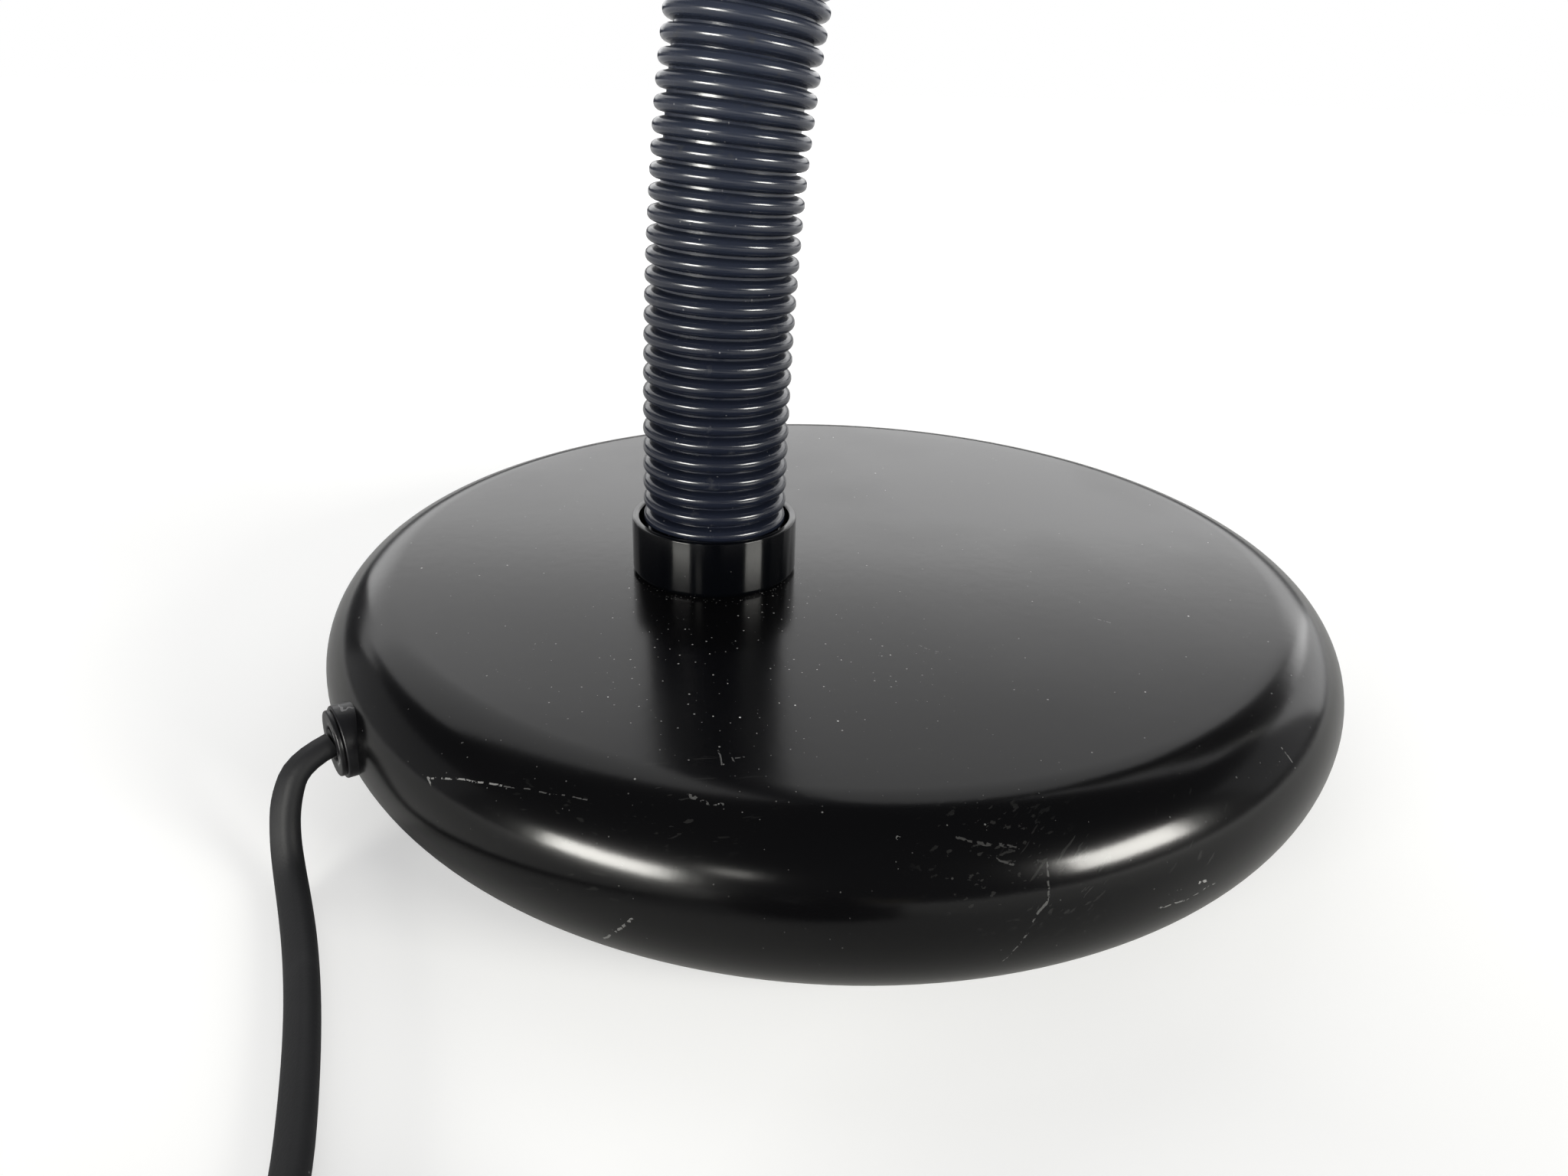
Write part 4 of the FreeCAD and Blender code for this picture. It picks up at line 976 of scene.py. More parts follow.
def build_ribbed_tube():
    """A tube along a line whose radius steps out into ribs, evenly spaced from where the sleeve begins."""
    group, given = geometry_group("ribbed_tube", {
        "Begins": 0.0, "Root": 0.0102, "Depth": 0.00175, "Pitch": 0.002995, "First Rib": 0.0036,
        "Half Width": 0.42, "Roundness": 2.3, "Flare": 0.0, "Rings": 160, "Sides": 64,
    })
    line = wire(group, "GeometryNodeMeshToCurve", given["Geometry"]).outputs[0]
    even = wire(group, "GeometryNodeResampleCurve", line, None, given["Rings"]).outputs[0]
    along = wire(group, "GeometryNodeSplineParameter").outputs
    station = maths(group, "ADD", along["Length"], given["Begins"])
    since = maths(group, "SUBTRACT", station, given["First Rib"])
    count = maths(group, "DIVIDE", since, given["Pitch"])
    away = off_middle(group, maths(group, "ADD", count, 0.5))
    out = maths(group, "DIVIDE", away, given["Half Width"], use_clamp=True)
    under = maths(group, "SUBTRACT", 1.0, maths(group, "POWER", out, given["Roundness"]))
    rib = maths(group, "POWER", under, maths(group, "DIVIDE", 1.0, given["Roundness"]))
    raised = maths(group, "MULTIPLY_ADD", rib, given["Depth"], given["Root"])
    spread = maths(group, "MULTIPLY_ADD", along["Factor"], given["Flare"], raised)
    uneven = wire(group, "ShaderNodeTexNoise", None, station, 90.0, 1.0, noise_dimensions="1D")
    ripple = wire(group, "ShaderNodeMapRange", uneven.outputs["Fac"], 0.0, 1.0, -0.00005, 0.00005)
    width = maths(group, "ADD", spread, ripple.outputs["Result"])
    hoop = wire(group, "GeometryNodeCurvePrimitiveCircle", given["Sides"])
    hoop.inputs["Radius"].default_value = 1.0
    direction = wire(group, "GeometryNodeInputTangent").outputs[0]
    marked = wire(group, "GeometryNodeStoreNamedAttribute", even, None, "along", direction,
                  data_type="FLOAT_VECTOR").outputs[0]
    skin = wire(group, "GeometryNodeCurveToMesh", marked, hoop.outputs["Curve"], width)
    return finish_group(group, given, skin.outputs[0])


ribbed_tube = build_ribbed_tube()

# %% The sleeve's eleven lengths
PITCH, FIRST_RIB = 2.995, 3.56
SLEEVE_ENDS = (1.5, 338.3)
SLEEVE_WALL = 0.001
RINGS_PER_RIB = 18
LINE_STEP = 0.5
# Two lengths, 4 and 11, are listed apart, since from the bottom up the bend between them loses its pivot
# to rounding when every joint is at its upper limit, and the length flies off. Below they are baked like the
# rest.
TOP_DOWN_LENGTHS = (4, 11)
valley = FIRST_RIB + PITCH / 2


def nearest_valley(station):
    """The valley between two ribs that is nearest to this station."""
    return valley + PITCH * round((station - valley) / PITCH)


def line_object(name, points):
    """A chain of edges, which a tree turns into a curve."""
    mesh = bpy.data.meshes.new(name)
    mesh.from_pydata(points, [(i, i + 1) for i in range(len(points) - 1)], [])
    chain = bpy.data.objects.new(name, mesh)
    bpy.context.scene.collection.objects.link(chain)
    return chain


def walled(thing, thickness):
    """The same piece with a wall inside its skin."""
    wall = thing.modifiers.new("wall", "SOLIDIFY")
    wall.thickness = thickness
    wall.offset = -1
    mesh = as_evaluated(thing)
    thing.modifiers.remove(wall)
    soften_mesh(mesh)
    thing.data = mesh
    return thing


cuts = [SLEEVE_ENDS[0]] + [nearest_valley(hinge + LINK / 2) for hinge in hinges[:-1]] + [SLEEVE_ENDS[1]]
for i, (low, high) in enumerate(zip(cuts, cuts[1:]), start=1):
    count = int((high - low) / LINE_STEP)
    points = [neck_place(low + (high - low) * k / count).translation for k in range(count + 1)]
    rings = int((high - low) / PITCH * RINGS_PER_RIB) + 1
    length = grown(line_object(f"sleeve_length_{i:02d}", points), ribbed_tube, sleeve_vinyl,
                   **{"Begins": low / 1000, "First Rib": FIRST_RIB / 1000, "Rings": rings})
    length = walled(length, SLEEVE_WALL)
    if i in TOP_DOWN_LENGTHS:
        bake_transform(length)
    else:
        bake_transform(length)
    stood_for = {1: ("sleeve_foot", "sleeve_link_01"), LINKS + 1: ("sleeve_tip",)}
    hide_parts(*stood_for.get(i, (f"sleeve_link_{i:02d}",)))
    print(f"{length.name}: {low:.1f} to {high:.1f} mm, {len(length.data.polygons)} faces")

# %% [markdown]
# Where the cord leaves the foot, it is gripped by a small nylon bushing: a flange against the rim and a
# slightly smaller clamping block on it, both stepped and scuffed at the edges. It points straight out of
# the rim, so it is turned upright and then laid on its side. Its bore is hidden by the cord.

# %% The strain relief
RELIEF_ANGLE, RELIEF_HEIGHT = 190.0, 17.5
RELIEF = (Matrix.Rotation(math.radians(RELIEF_ANGLE), 4, "Z")
          @ Matrix.Translation((BASE_RADIUS / 1000, 0, RELIEF_HEIGHT / 1000))
          @ Matrix.Rotation(math.pi / 2, 4, "Y"))
relief_line = rounded([
    (2.6, -6.0), (4.0, -6.0), (4.0, -2.2), (5.4, -2.2), (5.4, 1.2, 0.25), (4.7, 1.2, 0.12),
    (4.7, 1.35, 0.05), (4.9, 1.4, 0.05), (4.9, 2.0, 0.25), (2.6, 2.0, 0.3),
], 4)
relief = piece("cord_bushing", turned(relief_line, 64, True), [relief_nylon], RELIEF)
settle(relief, "base", "black_nylon", "strain_relief")

# %% [markdown]
# The plug is a soft moulding with two flat blades. Its body is a loft of rounded rectangles, narrow at
# the cord and wide where fingers grip it, with shallow grip grooves, and the boot behind it is the ribbed
# tree again, run along the last stretch of the cord. The blades are thin plates with rounded tips.

# %% The plug
PLUG = Matrix.Translation((-0.0980, -0.1670, 0.0255))
PLUG_LOFT = (
    (0.0, 5.0, 5.6, 4.0), (0.8, 5.9, 6.8, 4.5), (3.0, 6.9, 7.3, 4.5), (5.0, 7.6, 7.3, 4.5),
    (5.6, 7.4, 6.9, 4.5), (6.6, 7.8, 6.9, 4.5), (7.2, 8.5, 7.4, 4.5), (8.6, 9.1, 7.4, 4.5),
    (9.2, 8.9, 6.9, 4.5), (10.2, 9.3, 6.9, 4.5), (10.8, 10.0, 7.5, 4.5), (12.2, 10.6, 7.5, 4.5),
    (12.8, 10.4, 7.0, 4.5), (13.8, 10.8, 7.0, 4.5), (14.4, 11.4, 7.5, 4.5), (17.5, 12.0, 7.5, 4.2),
    (26.0, 12.0, 7.5, 4.2), (32.6, 12.0, 7.5, 4.2), (33.4, 11.8, 7.3, 4.0), (34.0, 11.0, 6.6, 3.6),
)
PLUG_LENGTH = PLUG_LOFT[-1][0]
BOOT_BEHIND = (0.030, 0.0070)
LOFT_POINTS = 48


def rounded_ring(half_width, half_height, corner):
    """A rectangle with round corners, in metres, as pairs of across and above."""
    ring = []
    corner = min(corner, half_width, half_height)
    for quarter, (sx, sy) in enumerate(((1, 1), (-1, 1), (-1, -1), (1, -1))):
        for k in range(LOFT_POINTS // 4):
            angle = math.pi / 2 * (quarter + k / (LOFT_POINTS / 4 - 1))
            ring.append(((sx * (half_width - corner) + corner * math.cos(angle)) / 1000,
                         (sy * (half_height - corner) + corner * math.sin(angle)) / 1000))
    return ring


plug_points = [Vector((x / 1000, 0, 0)) for x, *_ in PLUG_LOFT]
plug_rings = [rounded_ring(*sizes) for _, *sizes in PLUG_LOFT]
plug = piece("plug_moulded_body", swept(plug_points, plug_rings, [Vector((0, 1, 0))] * len(plug_points)),
             [plug_moulding], PLUG)
settle(plug, "base", "plug_moulding", "plug_body")

boot_from, boot_to = [distances[-1] - behind for behind in BOOT_BEHIND]
boot_points = [point for point, distance in zip(cord_line, distances) if boot_from < distance < boot_to]
boot = grown(line_object("plug_boot", boot_points), ribbed_tube, plug_moulding,
             **{"Root": 0.0029, "Depth": 0.0007, "Pitch": 0.0034, "First Rib": 0.0017, "Half Width": 0.34,
                "Roundness": 3.5, "Flare": 0.0012, "Rings": 120, "Sides": 32})
boot = walled(boot, 0.0007)
settle(boot, "base", "plug_moulding")


def plate(outline, thick, hole):
    """A flat plate in the XZ plane, its outline and one round hole in metres, thick along Y."""
    shape = bmesh.new()
    front = [shape.verts.new((x, -thick / 2, z)) for x, z in outline]
    back = [shape.verts.new((x, thick / 2, z)) for x, z in outline]
    bridge(shape, front, back)
    inner = [[shape.verts.new((x, y, z)) for x, z in hole] for y in (-thick / 2, thick / 2)]
    bridge(shape, *inner)
    for ring, rim in ((front, inner[0]), (back, inner[1])):
        edges = [shape.edges.get((loop[i], loop[(i + 1) % len(loop)]))
                 for loop in (ring, rim) for i in range(len(loop))]
        bmesh.ops.triangle_fill(shape, edges=edges, use_beauty=True)
    bmesh.ops.recalc_face_normals(shape, faces=shape.faces)
    return shape


BLADE_THICK, BLADE_SPACING = 1.5, 12.7
BLADE_SIDE = [(0.0, 3.2), (15.6, 3.2), (16.4, 2.9), (16.9, 2.3), (17.0, 1.4)]
HOLE_PLACE, HOLE_RADIUS, HOLE_POINTS = 13.4, 1.6, 20
blade_outline = [(0.0, -3.2)] + BLADE_SIDE + [(x, -z) for x, z in reversed(BLADE_SIDE[1:])]
hole_turns = [math.tau * i / HOLE_POINTS for i in range(HOLE_POINTS)]
blade_hole = [(HOLE_PLACE + HOLE_RADIUS * math.cos(turn), HOLE_RADIUS * math.sin(turn))
              for turn in hole_turns]
blades = bmesh.new()
for side in (-1, 1):
    one = plate([(x / 1000, z / 1000) for x, z in blade_outline], BLADE_THICK / 1000,
                [(x / 1000, z / 1000) for x, z in blade_hole])
    add_to(blades, one, PLUG @ Matrix.Translation((PLUG_LENGTH / 1000, side * BLADE_SPACING / 2000, 0)))
blade_pair = piece("plug_blade_pair", blades, [blade_metal])
settle(blade_pair, "base", "blade_metal", "plug_blades")

# %% [markdown]
# A strap of hook-and-loop tape holds the coil together. It goes once round the bundle of turns and laps
# over itself. A strip carried along a closed rounded path does it, with a free end that stands off a little.

# %% The tie round the coil
TIE_THICK, TIE_WIDTH, TIE_ROOM, TIE_CORNER = 0.7, 6.0, 0.3, 1.6
BUNDLE_HALF_WIDTH, BUNDLE_HALF_HEIGHT = 5.0, 8.5
BUNDLE_MIDDLE = Vector((0.029, 0, 0.0095))
LAP_SPREAD = (1.14, 1.09)
tie_half_width = BUNDLE_HALF_WIDTH + TIE_ROOM + TIE_THICK / 2
tie_half_height = BUNDLE_HALF_HEIGHT + TIE_ROOM + TIE_THICK / 2
tie_ring = rounded_ring(tie_half_width, tie_half_height, TIE_CORNER)
tie_centre = COIL_CENTRE + BUNDLE_MIDDLE
around_bundle = [tie_centre + Vector((a, 0, b)) for a, b in tie_ring]
lap = [tie_centre + Vector((a * LAP_SPREAD[0], 0, b * LAP_SPREAD[1])) for a, b in tie_ring[2:9]]
half_width, half_thick = TIE_WIDTH / 2000, TIE_THICK / 2000
tie_section = [(-half_width, -half_thick), (half_width, -half_thick), (half_width, half_thick),
               (-half_width, half_thick)]
tie_shape = bmesh.new()
for strip in (around_bundle + around_bundle[:1], lap):
    add_to(tie_shape, swept(strip, [tie_section] * len(strip), [Vector((0, 1, 0))] * len(strip)))
tie = piece("coil_strap", tie_shape, [tie_nylon])
settle(tie, "base", "black_nylon", "cord_tie")

# %% [markdown]
# The shade is spun aluminium, black outside and white inside: a narrow neck over the lampholder, a flared
# step, and a long bell with a rolled rim. It is turned as a single skin, given its wall by Solidify, which
# also tells inside from outside for the two paints, and then pierced with slots for the heat to leave.
# The slots are one cutter repeated round the neck by a tree, and taken out with a Boolean inside it.

# %% The shade
SHADE_NECK, NECK_TOP = 26.0, 46.0
DOME_RADIUS, BELL_RADIUS = 28.0, 400.0
DOME_TURN, BELL_TURN, RIM_TURN = 65.0, 22.0, 10.4
SHADE_WALL, BEAD_RADIUS, BEAD_INSET = 0.0009, 1.6, 0.45


def centre_behind(point, radius, turn):
    """The middle of the arc that leaves a point of the outline at this angle below the level."""
    way = math.radians(turn)
    return point.x - radius * math.cos(way), point.y + radius * math.sin(way)


shade_line = ([Vector((5.2, 0.0)), Vector((12.0, 0.0)), Vector((17.0, 0.0))]
              + arc((21.0, 5.0), 5.0, -90, 0, 10)
              + [Vector((SHADE_NECK, height)) for height in (12.0, 20.0, 28.0, 36.0)]
              + arc((34.0, NECK_TOP), 8.0, 180, 115, 10))
flare_end = shade_line[-1]
dome_centre = centre_behind(flare_end, DOME_RADIUS, DOME_TURN)
shade_line += arc(dome_centre, DOME_RADIUS, -DOME_TURN, -BELL_TURN, 14)[1:]
bell_centre = centre_behind(shade_line[-1], BELL_RADIUS, BELL_TURN)
shade_line += arc(bell_centre, BELL_RADIUS, -BELL_TURN, -RIM_TURN, 18)[1:]
rim = shade_line[-1]
print(f"shade rim: radius {rim.x:.1f}, {rim.y:.1f} mm along the head's axis")


def build_pierced():
    """Slots with round ends, cut through a turned piece, evenly round its axis."""
    group, given = geometry_group("pierced", {
        "Slots": 10, "Width": 0.003, "Length": 0.015, "Low End": 0.028, "From": 0.019, "Reach": 0.014,
    })
    flat = wire(group, "GeometryNodeCurvePrimitiveQuadrilateral", given["Width"], given["Length"])
    end = maths(group, "MULTIPLY", given["Width"], 0.499)
    soft = wire(group, "GeometryNodeFilletCurve", flat.outputs[0], 6, end, mode="POLY")
    sheet = wire(group, "GeometryNodeFillCurve", soft.outputs[0], mode="NGONS").outputs[0]
    block = wire(group, "GeometryNodeExtrudeMesh", sheet, None, (0.0, 0.0, 1.0), given["Reach"], False)
    closed = wire(group, "GeometryNodeJoinGeometry", block.outputs["Mesh"])
    group.links.new(wire(group, "GeometryNodeFlipFaces", sheet).outputs[0], closed.inputs[0])
    merged = wire(group, "GeometryNodeMergeByDistance", closed.outputs[0])
    laid = wire(group, "GeometryNodeTransform", merged.outputs[0])
    laid.inputs["Rotation"].default_value = (0.0, math.pi / 2, 0.0)
    middle = maths(group, "MULTIPLY_ADD", given["Length"], 0.5, given["Low End"])
    spot = wire(group, "ShaderNodeCombineXYZ", given["From"], 0.0, middle)
    stood = wire(group, "GeometryNodeTransform", laid.outputs[0], spot.outputs[0])
    points = wire(group, "GeometryNodePoints", given["Slots"])
    number = wire(group, "GeometryNodeInputIndex").outputs[0]
    share = maths(group, "DIVIDE", maths(group, "ADD", number, 0.5), given["Slots"])
    spin = wire(group, "ShaderNodeCombineXYZ", 0.0, 0.0, maths(group, "MULTIPLY", share, math.tau))
    ring = wire(group, "GeometryNodeInstanceOnPoints", points.outputs[0], None, stood.outputs[0])
    group.links.new(spin.outputs[0], ring.inputs["Rotation"])
    solid = wire(group, "GeometryNodeRealizeInstances", ring.outputs[0])
    pierced = wire(group, "GeometryNodeMeshBoolean", given["Geometry"], solid.outputs[0],
                   operation="DIFFERENCE")
    index = wire(group, "GeometryNodeInputMaterialIndex").outputs[0]
    outside = wire(group, "FunctionNodeCompare", None, None, index, 0, data_type="INT", operation="EQUAL")
    return finish_group(group, given, pierced.outputs["Mesh"], outside.outputs[0])


pierced = build_pierced()
skin = piece("lamp_shade", turned(shade_line, 160), [shade_paint, shade_white])
wall = skin.modifiers.new("wall", "SOLIDIFY")
wall.thickness = SHADE_WALL
wall.offset = -1
wall.material_offset = 1
shade = grown(skin, pierced, shade_paint)
bead = turned(arc((rim.x - BEAD_INSET, rim.y), BEAD_RADIUS, 0, 342, 19), 160, True)
for face in bead.faces:
    face.smooth = True
shade_mesh = bmesh.new()
shade_mesh.from_mesh(shade.data)
add_to(shade_mesh, bead)
shade_mesh.to_mesh(shade.data)
shade_mesh.free()
shade.data.transform(HEAD)
settle(shade, "head", "shade_paint", "shade")

# %% [markdown]
# The lampholder inside the shade is a black phenolic cup, fluted so that it can be gripped while it is
# screwed on. The switch knob on its side is fluted too, and the ring nut under it is knurled. One tree
# makes all three: it pushes the surface of a turned piece in, in even grooves, between two heights.

# %% Geometry Nodes: flutes
def around_axis(group):
    """A point's height, its angle round Z, and the flat vector out to it."""
    place = wire(group, "GeometryNodeInputPosition").outputs[0]
    parts = wire(group, "ShaderNodeSeparateXYZ", place).outputs
    flat = wire(group, "ShaderNodeCombineXYZ", parts["X"], parts["Y"], 0.0).outputs[0]
    return parts["Z"], maths(group, "ARCTAN2", parts["Y"], parts["X"]), flat


def between(group, height, given, fade):
    """Two masks that let a pattern in above Low and out below High, each over a short fade."""
    low_end = maths(group, "ADD", given["Low"], fade)
    high_end = maths(group, "SUBTRACT", given["High"], fade)
    return (soft_step(group, height, given["Low"], low_end),
            soft_step(group, height, high_end, given["High"], 1.0, 0.0))


def pushed_out(group, given, flat, distance):
    """The geometry with every point moved away from Z by the distance."""
    push = vector(group, "SCALE", vector(group, "NORMALIZE", flat), scale=distance)
    moved = wire(group, "GeometryNodeSetPosition", given["Geometry"])
    group.links.new(push, moved.inputs["Offset"])
    return moved.outputs[0]


def build_fluted():
    """Even grooves down the outside of a turned piece."""
    group, given = geometry_group("fluted", {
        "Flutes": 12, "Depth": 0.0006, "Share": 0.28, "Low": 0.002, "High": 0.1, "Fade": 0.0006,
        "Inside": 0.004,
    })
    height, angle, flat = around_axis(group)
    turns = maths(group, "DIVIDE", angle, math.tau)
    away = off_middle(group, maths(group, "MULTIPLY_ADD", turns, given["Flutes"], 0.5))
    groove = soft_step(group, away, 0.0, given["Share"], 1.0, 0.0)
    outer = maths(group, "GREATER_THAN", vector(group, "LENGTH", flat), given["Inside"])
    depth = maths(group, "MULTIPLY", groove, given["Depth"])
    for mask in (*between(group, height, given, given["Fade"]), outer):
        depth = maths(group, "MULTIPLY", depth, mask)
    inward = maths(group, "MULTIPLY", depth, -1.0)
    return finish_group(group, given, pushed_out(group, given, flat, inward))


def stepped(line, longest):
    """The same outline with long straight stretches cut into shorter ones, for a tree to shape."""
    fine = []
    for here, there in zip(line, line[1:]):
        parts = max(1, math.ceil((there - here).length / longest))
        fine += [here.lerp(there, k / parts) for k in range(parts)]
    return fine + [line[-1]]


def stepped_ring(line, longest):
    """The same for an outline that closes on itself."""
    return stepped(line + line[:1], longest)[:-1]


fluted = build_fluted()

# %% The lampholder
holder_line = rounded([
    (5.05, 7.6), (9.0, 7.6, 0.4), (9.0, 16.0, 0.6), (19.0, 16.0, 1.6), (19.0, 52.0, 0.9),
    (14.6, 52.0, 0.5), (14.6, 31.0), (5.05, 31.0),
], 5)
holder = piece("lampholder_cup", turned(stepped_ring(holder_line, 1.2), 192, True), [phenolic])
holder = grown(holder, fluted, phenolic, Flutes=32, Depth=0.0005, Share=0.3, Low=0.0335, High=0.0485,
               Fade=0.0012, Inside=0.0175)
holder.data.transform(HEAD)
settle(holder, "head", "phenolic", "lampholder_body")

# %% The switch knob and its ring nut
SWITCH_DEPTH = 0.0235
SWITCH = HEAD @ Matrix.Translation((0, 0, SWITCH_DEPTH)) @ Matrix.Rotation(-math.pi / 2, 4, "Y")
knob_line = rounded([
    (1.92, 29.6), (6.5, 29.6, 0.3), (6.5, 40.6, 1.0), (0.0, 40.6),
], 5)
knob = piece("knob_fluted", turned(stepped(knob_line, 0.45), 192), [knob_plastic])
knob = grown(knob, fluted, knob_plastic, Flutes=12, Depth=0.0006, Share=0.3, Low=0.0314, High=0.045,
             Fade=0.0008, Inside=0.0045)
knob.data.transform(SWITCH)
settle(knob, "knob", "knob_plastic", "switch_knob")

nut_line = rounded([(3.65, 26.1), (6.0, 26.1, 0.25), (6.0, 28.1, 0.25), (3.65, 28.1, 0.2)], 4)
ring_nut = piece("switch_ring_nut", turned(stepped_ring(nut_line, 0.4), 240, True), [brass])
ring_nut = grown(ring_nut, fluted, brass, Flutes=48, Depth=0.00022, Share=0.5, Low=0.0262, High=0.0280,
                 Fade=0.0002, Inside=0.0054)
ring_nut.data.transform(SWITCH)
settle(ring_nut, "head", "brass", "switch_nut")

# %% [markdown]
# The bulb is a frosted globe on a pressed metal cap with a rolled thread. The glass runs from a round
# ball into a narrow neck in one easy curve, so its outline is a ball's arc and a curve that meets it
# without a kink. The thread is a last small tree, which swells a turned cap in a spiral.

# %% The bulb's glass
BALL_CENTRE, BALL_RADIUS, GLASS_NECK = 111.4, 30.0, 12.4
GLASS_LOW, GLASS_WALL, JOIN_ANGLE, JOIN_PULL = 37.0, 0.8, -24.0, 17.0
join = Vector((BALL_RADIUS * math.cos(math.radians(JOIN_ANGLE)),
               BALL_CENTRE + BALL_RADIUS * math.sin(math.radians(JOIN_ANGLE))))
leaving = Vector((math.sin(math.radians(JOIN_ANGLE)), -math.cos(math.radians(JOIN_ANGLE))))
anchors = (join, join + leaving * JOIN_PULL, Vector((GLASS_NECK, 74.0)), Vector((GLASS_NECK, 57.0)))


def bezier(anchors, steps):
    """Points on a cubic curve."""
    points = []
    for i in range(steps + 1):
        t = i / steps
        weights = ((1 - t) ** 3, 3 * t * (1 - t) ** 2, 3 * t * t * (1 - t), t ** 3)
        points.append(sum((anchor * weight for anchor, weight in zip(anchors, weights)), Vector((0, 0))))
    return points


def glass_side(inset):
    """The glass from its crown down to its open neck, inset from its outer face."""
    ball = arc((0.0, BALL_CENTRE), BALL_RADIUS - inset, 90, JOIN_ANGLE, 30)
    ball[0].x = 0.0
    moved = [anchor - Vector((inset, 0)) for anchor in anchors]
    moved[0] = ball[-1]
    moved[1] = ball[-1] + leaving * JOIN_PULL
    return ball + bezier(moved, 22)[1:] + [Vector((GLASS_NECK - inset, GLASS_LOW))]


glass_line = glass_side(0.0) + glass_side(GLASS_WALL)[::-1]
bulb_glass = piece("bulb_globe", turned(glass_line, 96), [frosted_glass], HEAD)
settle(bulb_glass, "head", "frosted_glass", "bulb_glass")


# %% The bulb's threaded cap
THREAD_FADE = 0.0015


def build_threaded():
    """A rolled screw thread: the skin swells in a spiral between two heights."""
    group, given = geometry_group("threaded", {
        "Pitch": 0.00362, "Depth": 0.0006, "Low": 0.0375, "High": 0.0525,
    })
    height, angle, flat = around_axis(group)
    rise = maths(group, "DIVIDE", height, given["Pitch"])
    wave = maths(group, "COSINE", maths(group, "MULTIPLY_ADD", rise, math.tau, angle))
    swell = wire(group, "ShaderNodeMapRange", wave, -1.0, 1.0, -1.0, 0.0).outputs["Result"]
    size = maths(group, "MULTIPLY", swell, given["Depth"])
    for mask in between(group, height, given, THREAD_FADE):
        size = maths(group, "MULTIPLY", size, mask)
    return finish_group(group, given, pushed_out(group, given, flat, size))


threaded = build_threaded()
cap_line = rounded([(12.7, 36.7), (13.1, 36.7, 0.15), (13.1, 54.9, 0.15), (12.7, 54.9)], 3)
cap = piece("bulb_screw_cap", turned(stepped_ring(cap_line, 0.3), 96, True), [thin_aluminium])
cap = grown(cap, threaded, thin_aluminium)
cap.data.transform(HEAD)
settle(cap, "head", "thin_aluminium", "bulb_cap")

# %% [markdown]
# The parts left are right as they are in the solid model, being small, plain or out of sight: the
# weight, the cover and its screws, the felt, the fittings, the core, the leads and the contacts.
# They keep their solids and only get their finish.

# %% Finishes for the solid parts that stay
STAYING = {
    "base_weight": cast_iron, "base_cover": cover_paint, "base_felt": felt, "cover_screws": plated_steel,
    "neck_ferrule": plated_steel, "ferrule_washer": plated_steel, "ferrule_nut": plated_steel,
    "head_ferrule": plated_steel, "head_washer": plated_steel, "head_nut": plated_steel,
    "base_lead": cord_jacket, "head_lead": cord_jacket, "lampholder_shell": brass,
    "lampholder_contact": brass, "switch_body": switch_plastic, "switch_shaft": turned_steel,
    "bulb_contact": insulator_glass, "bulb_stem": clear_glass,
}
STAYING.update({f"core_link_{i:02d}": core_steel for i in range(1, LINKS + 1)})
STAYING.update({f"neck_lead_{i}": cord_jacket for i in range(1, LINKS // 2 + 1)})
for node, material in STAYING.items():
    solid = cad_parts[node]
    solid.data.materials.clear()
    solid.data.materials.append(material)
print("solid parts that stay:", len(STAYING))

# %% [markdown]
# The lamp stands on a plain white floor. Nine soft boxes are its windows and walls: three warm ones, low
# on the left and higher on the right, draw the long highlights on the foot's shoulder, a pale wall of
# light behind fills its flat top, two faint ones lift the sides, and the room above stays dim, which is
# why the shoulder has a black band. Some of the floor's white is its own, added for the rays that look at
# it, so that the shadow stays and the lamp isn't lit too hard.

# %% The floor
FLOOR_SIZE = 12.0
floor_mesh = bpy.data.meshes.new("floor")
corner = FLOOR_SIZE / 2
floor_mesh.from_pydata([(corner * x, corner * y, 0) for x, y in ((-1, -1), (1, -1), (1, 1), (-1, 1))],
                       [], [(0, 1, 2, 3)])
floor = bpy.data.objects.new("floor", floor_mesh)
bpy.context.scene.collection.objects.link(floor)
floor_white = finish("floor_white", (0.55, 0.55, 0.55), 0.9, specular=0.1)
NEAR_REACH, NEAR_WHITE, GLOSS_SHARE = (0.15, 1.4), 0.50, 0.6
tree = floor_white.node_tree
path = wire(tree, "ShaderNodeLightPath").outputs
distant = maths(tree, "SUBTRACT", 1.0, nearness(floor_white, (0.0, 0.0, 0.0), *NEAR_REACH))
whitened = wire(tree, "ShaderNodeMapRange", distant, 0.0, 1.0, NEAR_WHITE, 1.0).outputs["Result"]
looked_at = maths(tree, "MAXIMUM", path["Is Camera Ray"], path["Is Transmission Ray"])
plain = maths(tree, "MULTIPLY", looked_at, whitened)
glossed = maths(tree, "MULTIPLY", path["Is Glossy Ray"], distant)
total = maths(tree, "MULTIPLY_ADD", glossed, GLOSS_SHARE, plain)
shader_of(floor_white).inputs["Emission Color"].default_value = (1, 1, 1, 1)
tree.links.new(total, shader_of(floor_white).inputs["Emission Strength"])
floor.data.materials.append(floor_white)


# %% The lights
AIM = Vector((0.0, 0.0, 0.02))


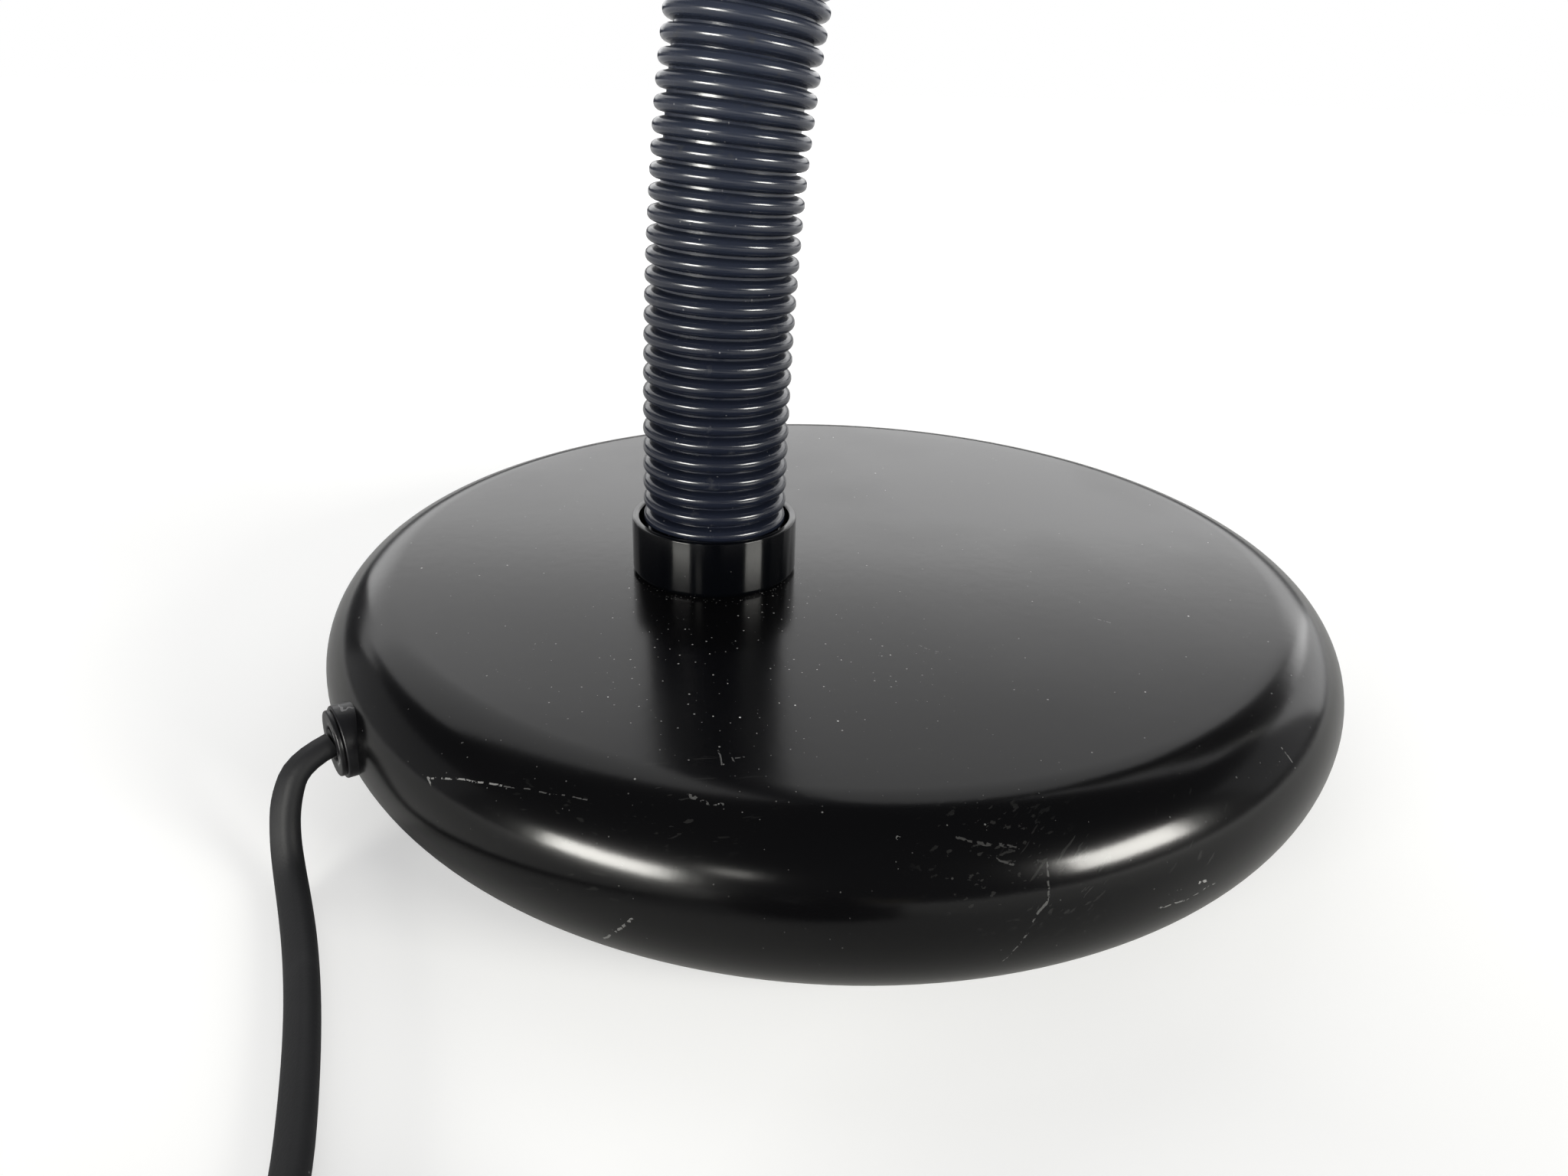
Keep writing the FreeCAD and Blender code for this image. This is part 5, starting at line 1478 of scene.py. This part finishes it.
def softbox(name, azimuth, elevation, width, height, radiance, tint=(1.0, 1.0, 1.0), distance=1.3):
    """A soft rectangle of light that stands in that direction from the foot and faces it."""
    turn, lift = math.radians(azimuth), math.radians(elevation)
    away = Vector((math.cos(turn) * math.cos(lift), math.sin(turn) * math.cos(lift), math.sin(lift)))
    data = bpy.data.lights.new(name, "AREA")
    data.shape = "RECTANGLE"
    data.size, data.size_y = width, height
    data.energy = radiance * math.pi * width * height
    data.color = tint
    light = bpy.data.objects.new(name, data)
    bpy.context.scene.collection.objects.link(light)
    light.location = away * distance + AIM
    light.rotation_mode = "QUATERNION"
    light.rotation_quaternion = away.to_track_quat("Z", "Y")
    light.visible_camera = False
    return light


WARM = (1.0, 0.99, 0.93)
softbox("window_left", -157, 8.5, 0.54, 0.27, 40.0, WARM)
softbox("window_left_small", -134, 21.5, 0.16, 0.14, 9.0, WARM)
softbox("window_right", -57.5, 17.8, 0.53, 0.31, 33.0, WARM)
softbox("wall_low", 62, 16.5, 2.3, 0.32, 2.0)
softbox("wall_high", 68, 27.0, 3.0, 0.24, 1.15)
softbox("wall_top", 64, 50.0, 2.8, 0.84, 1.05)
softbox("wall_right", 10, 15.0, 0.52, 0.60, 1.6)
softbox("side_right", -16, 17.0, 0.55, 0.55, 0.35)
softbox("side_left", 146, 13.0, 1.15, 0.50, 0.25)

DIM_ROOM = (0.06, 0.06, 0.064)
FILL = (0.25, 0.25, 0.25)
world = bpy.data.worlds.new("studio")
bpy.context.scene.world = world
world.use_nodes = True
tree = world.node_tree
background = tree.nodes["Background"]
path = wire(tree, "ShaderNodeLightPath").outputs
glossed = wire(tree, "ShaderNodeMix", path["Is Glossy Ray"], data_type="RGBA")
glossed.inputs[MIX_COLOURS[0]].default_value = (*FILL, 1)
glossed.inputs[MIX_COLOURS[1]].default_value = (*DIM_ROOM, 1)
straight = maths(tree, "MAXIMUM", path["Is Camera Ray"], path["Is Transmission Ray"])
seen = wire(tree, "ShaderNodeMix", straight, data_type="RGBA")
tree.links.new(glossed.outputs[MIX_COLOURS[2]], seen.inputs[MIX_COLOURS[0]])
seen.inputs[MIX_COLOURS[1]].default_value = (1, 1, 1, 1)
tree.links.new(seen.outputs[MIX_COLOURS[2]], background.inputs["Color"])
bpy.context.scene.view_settings.view_transform = "Standard"
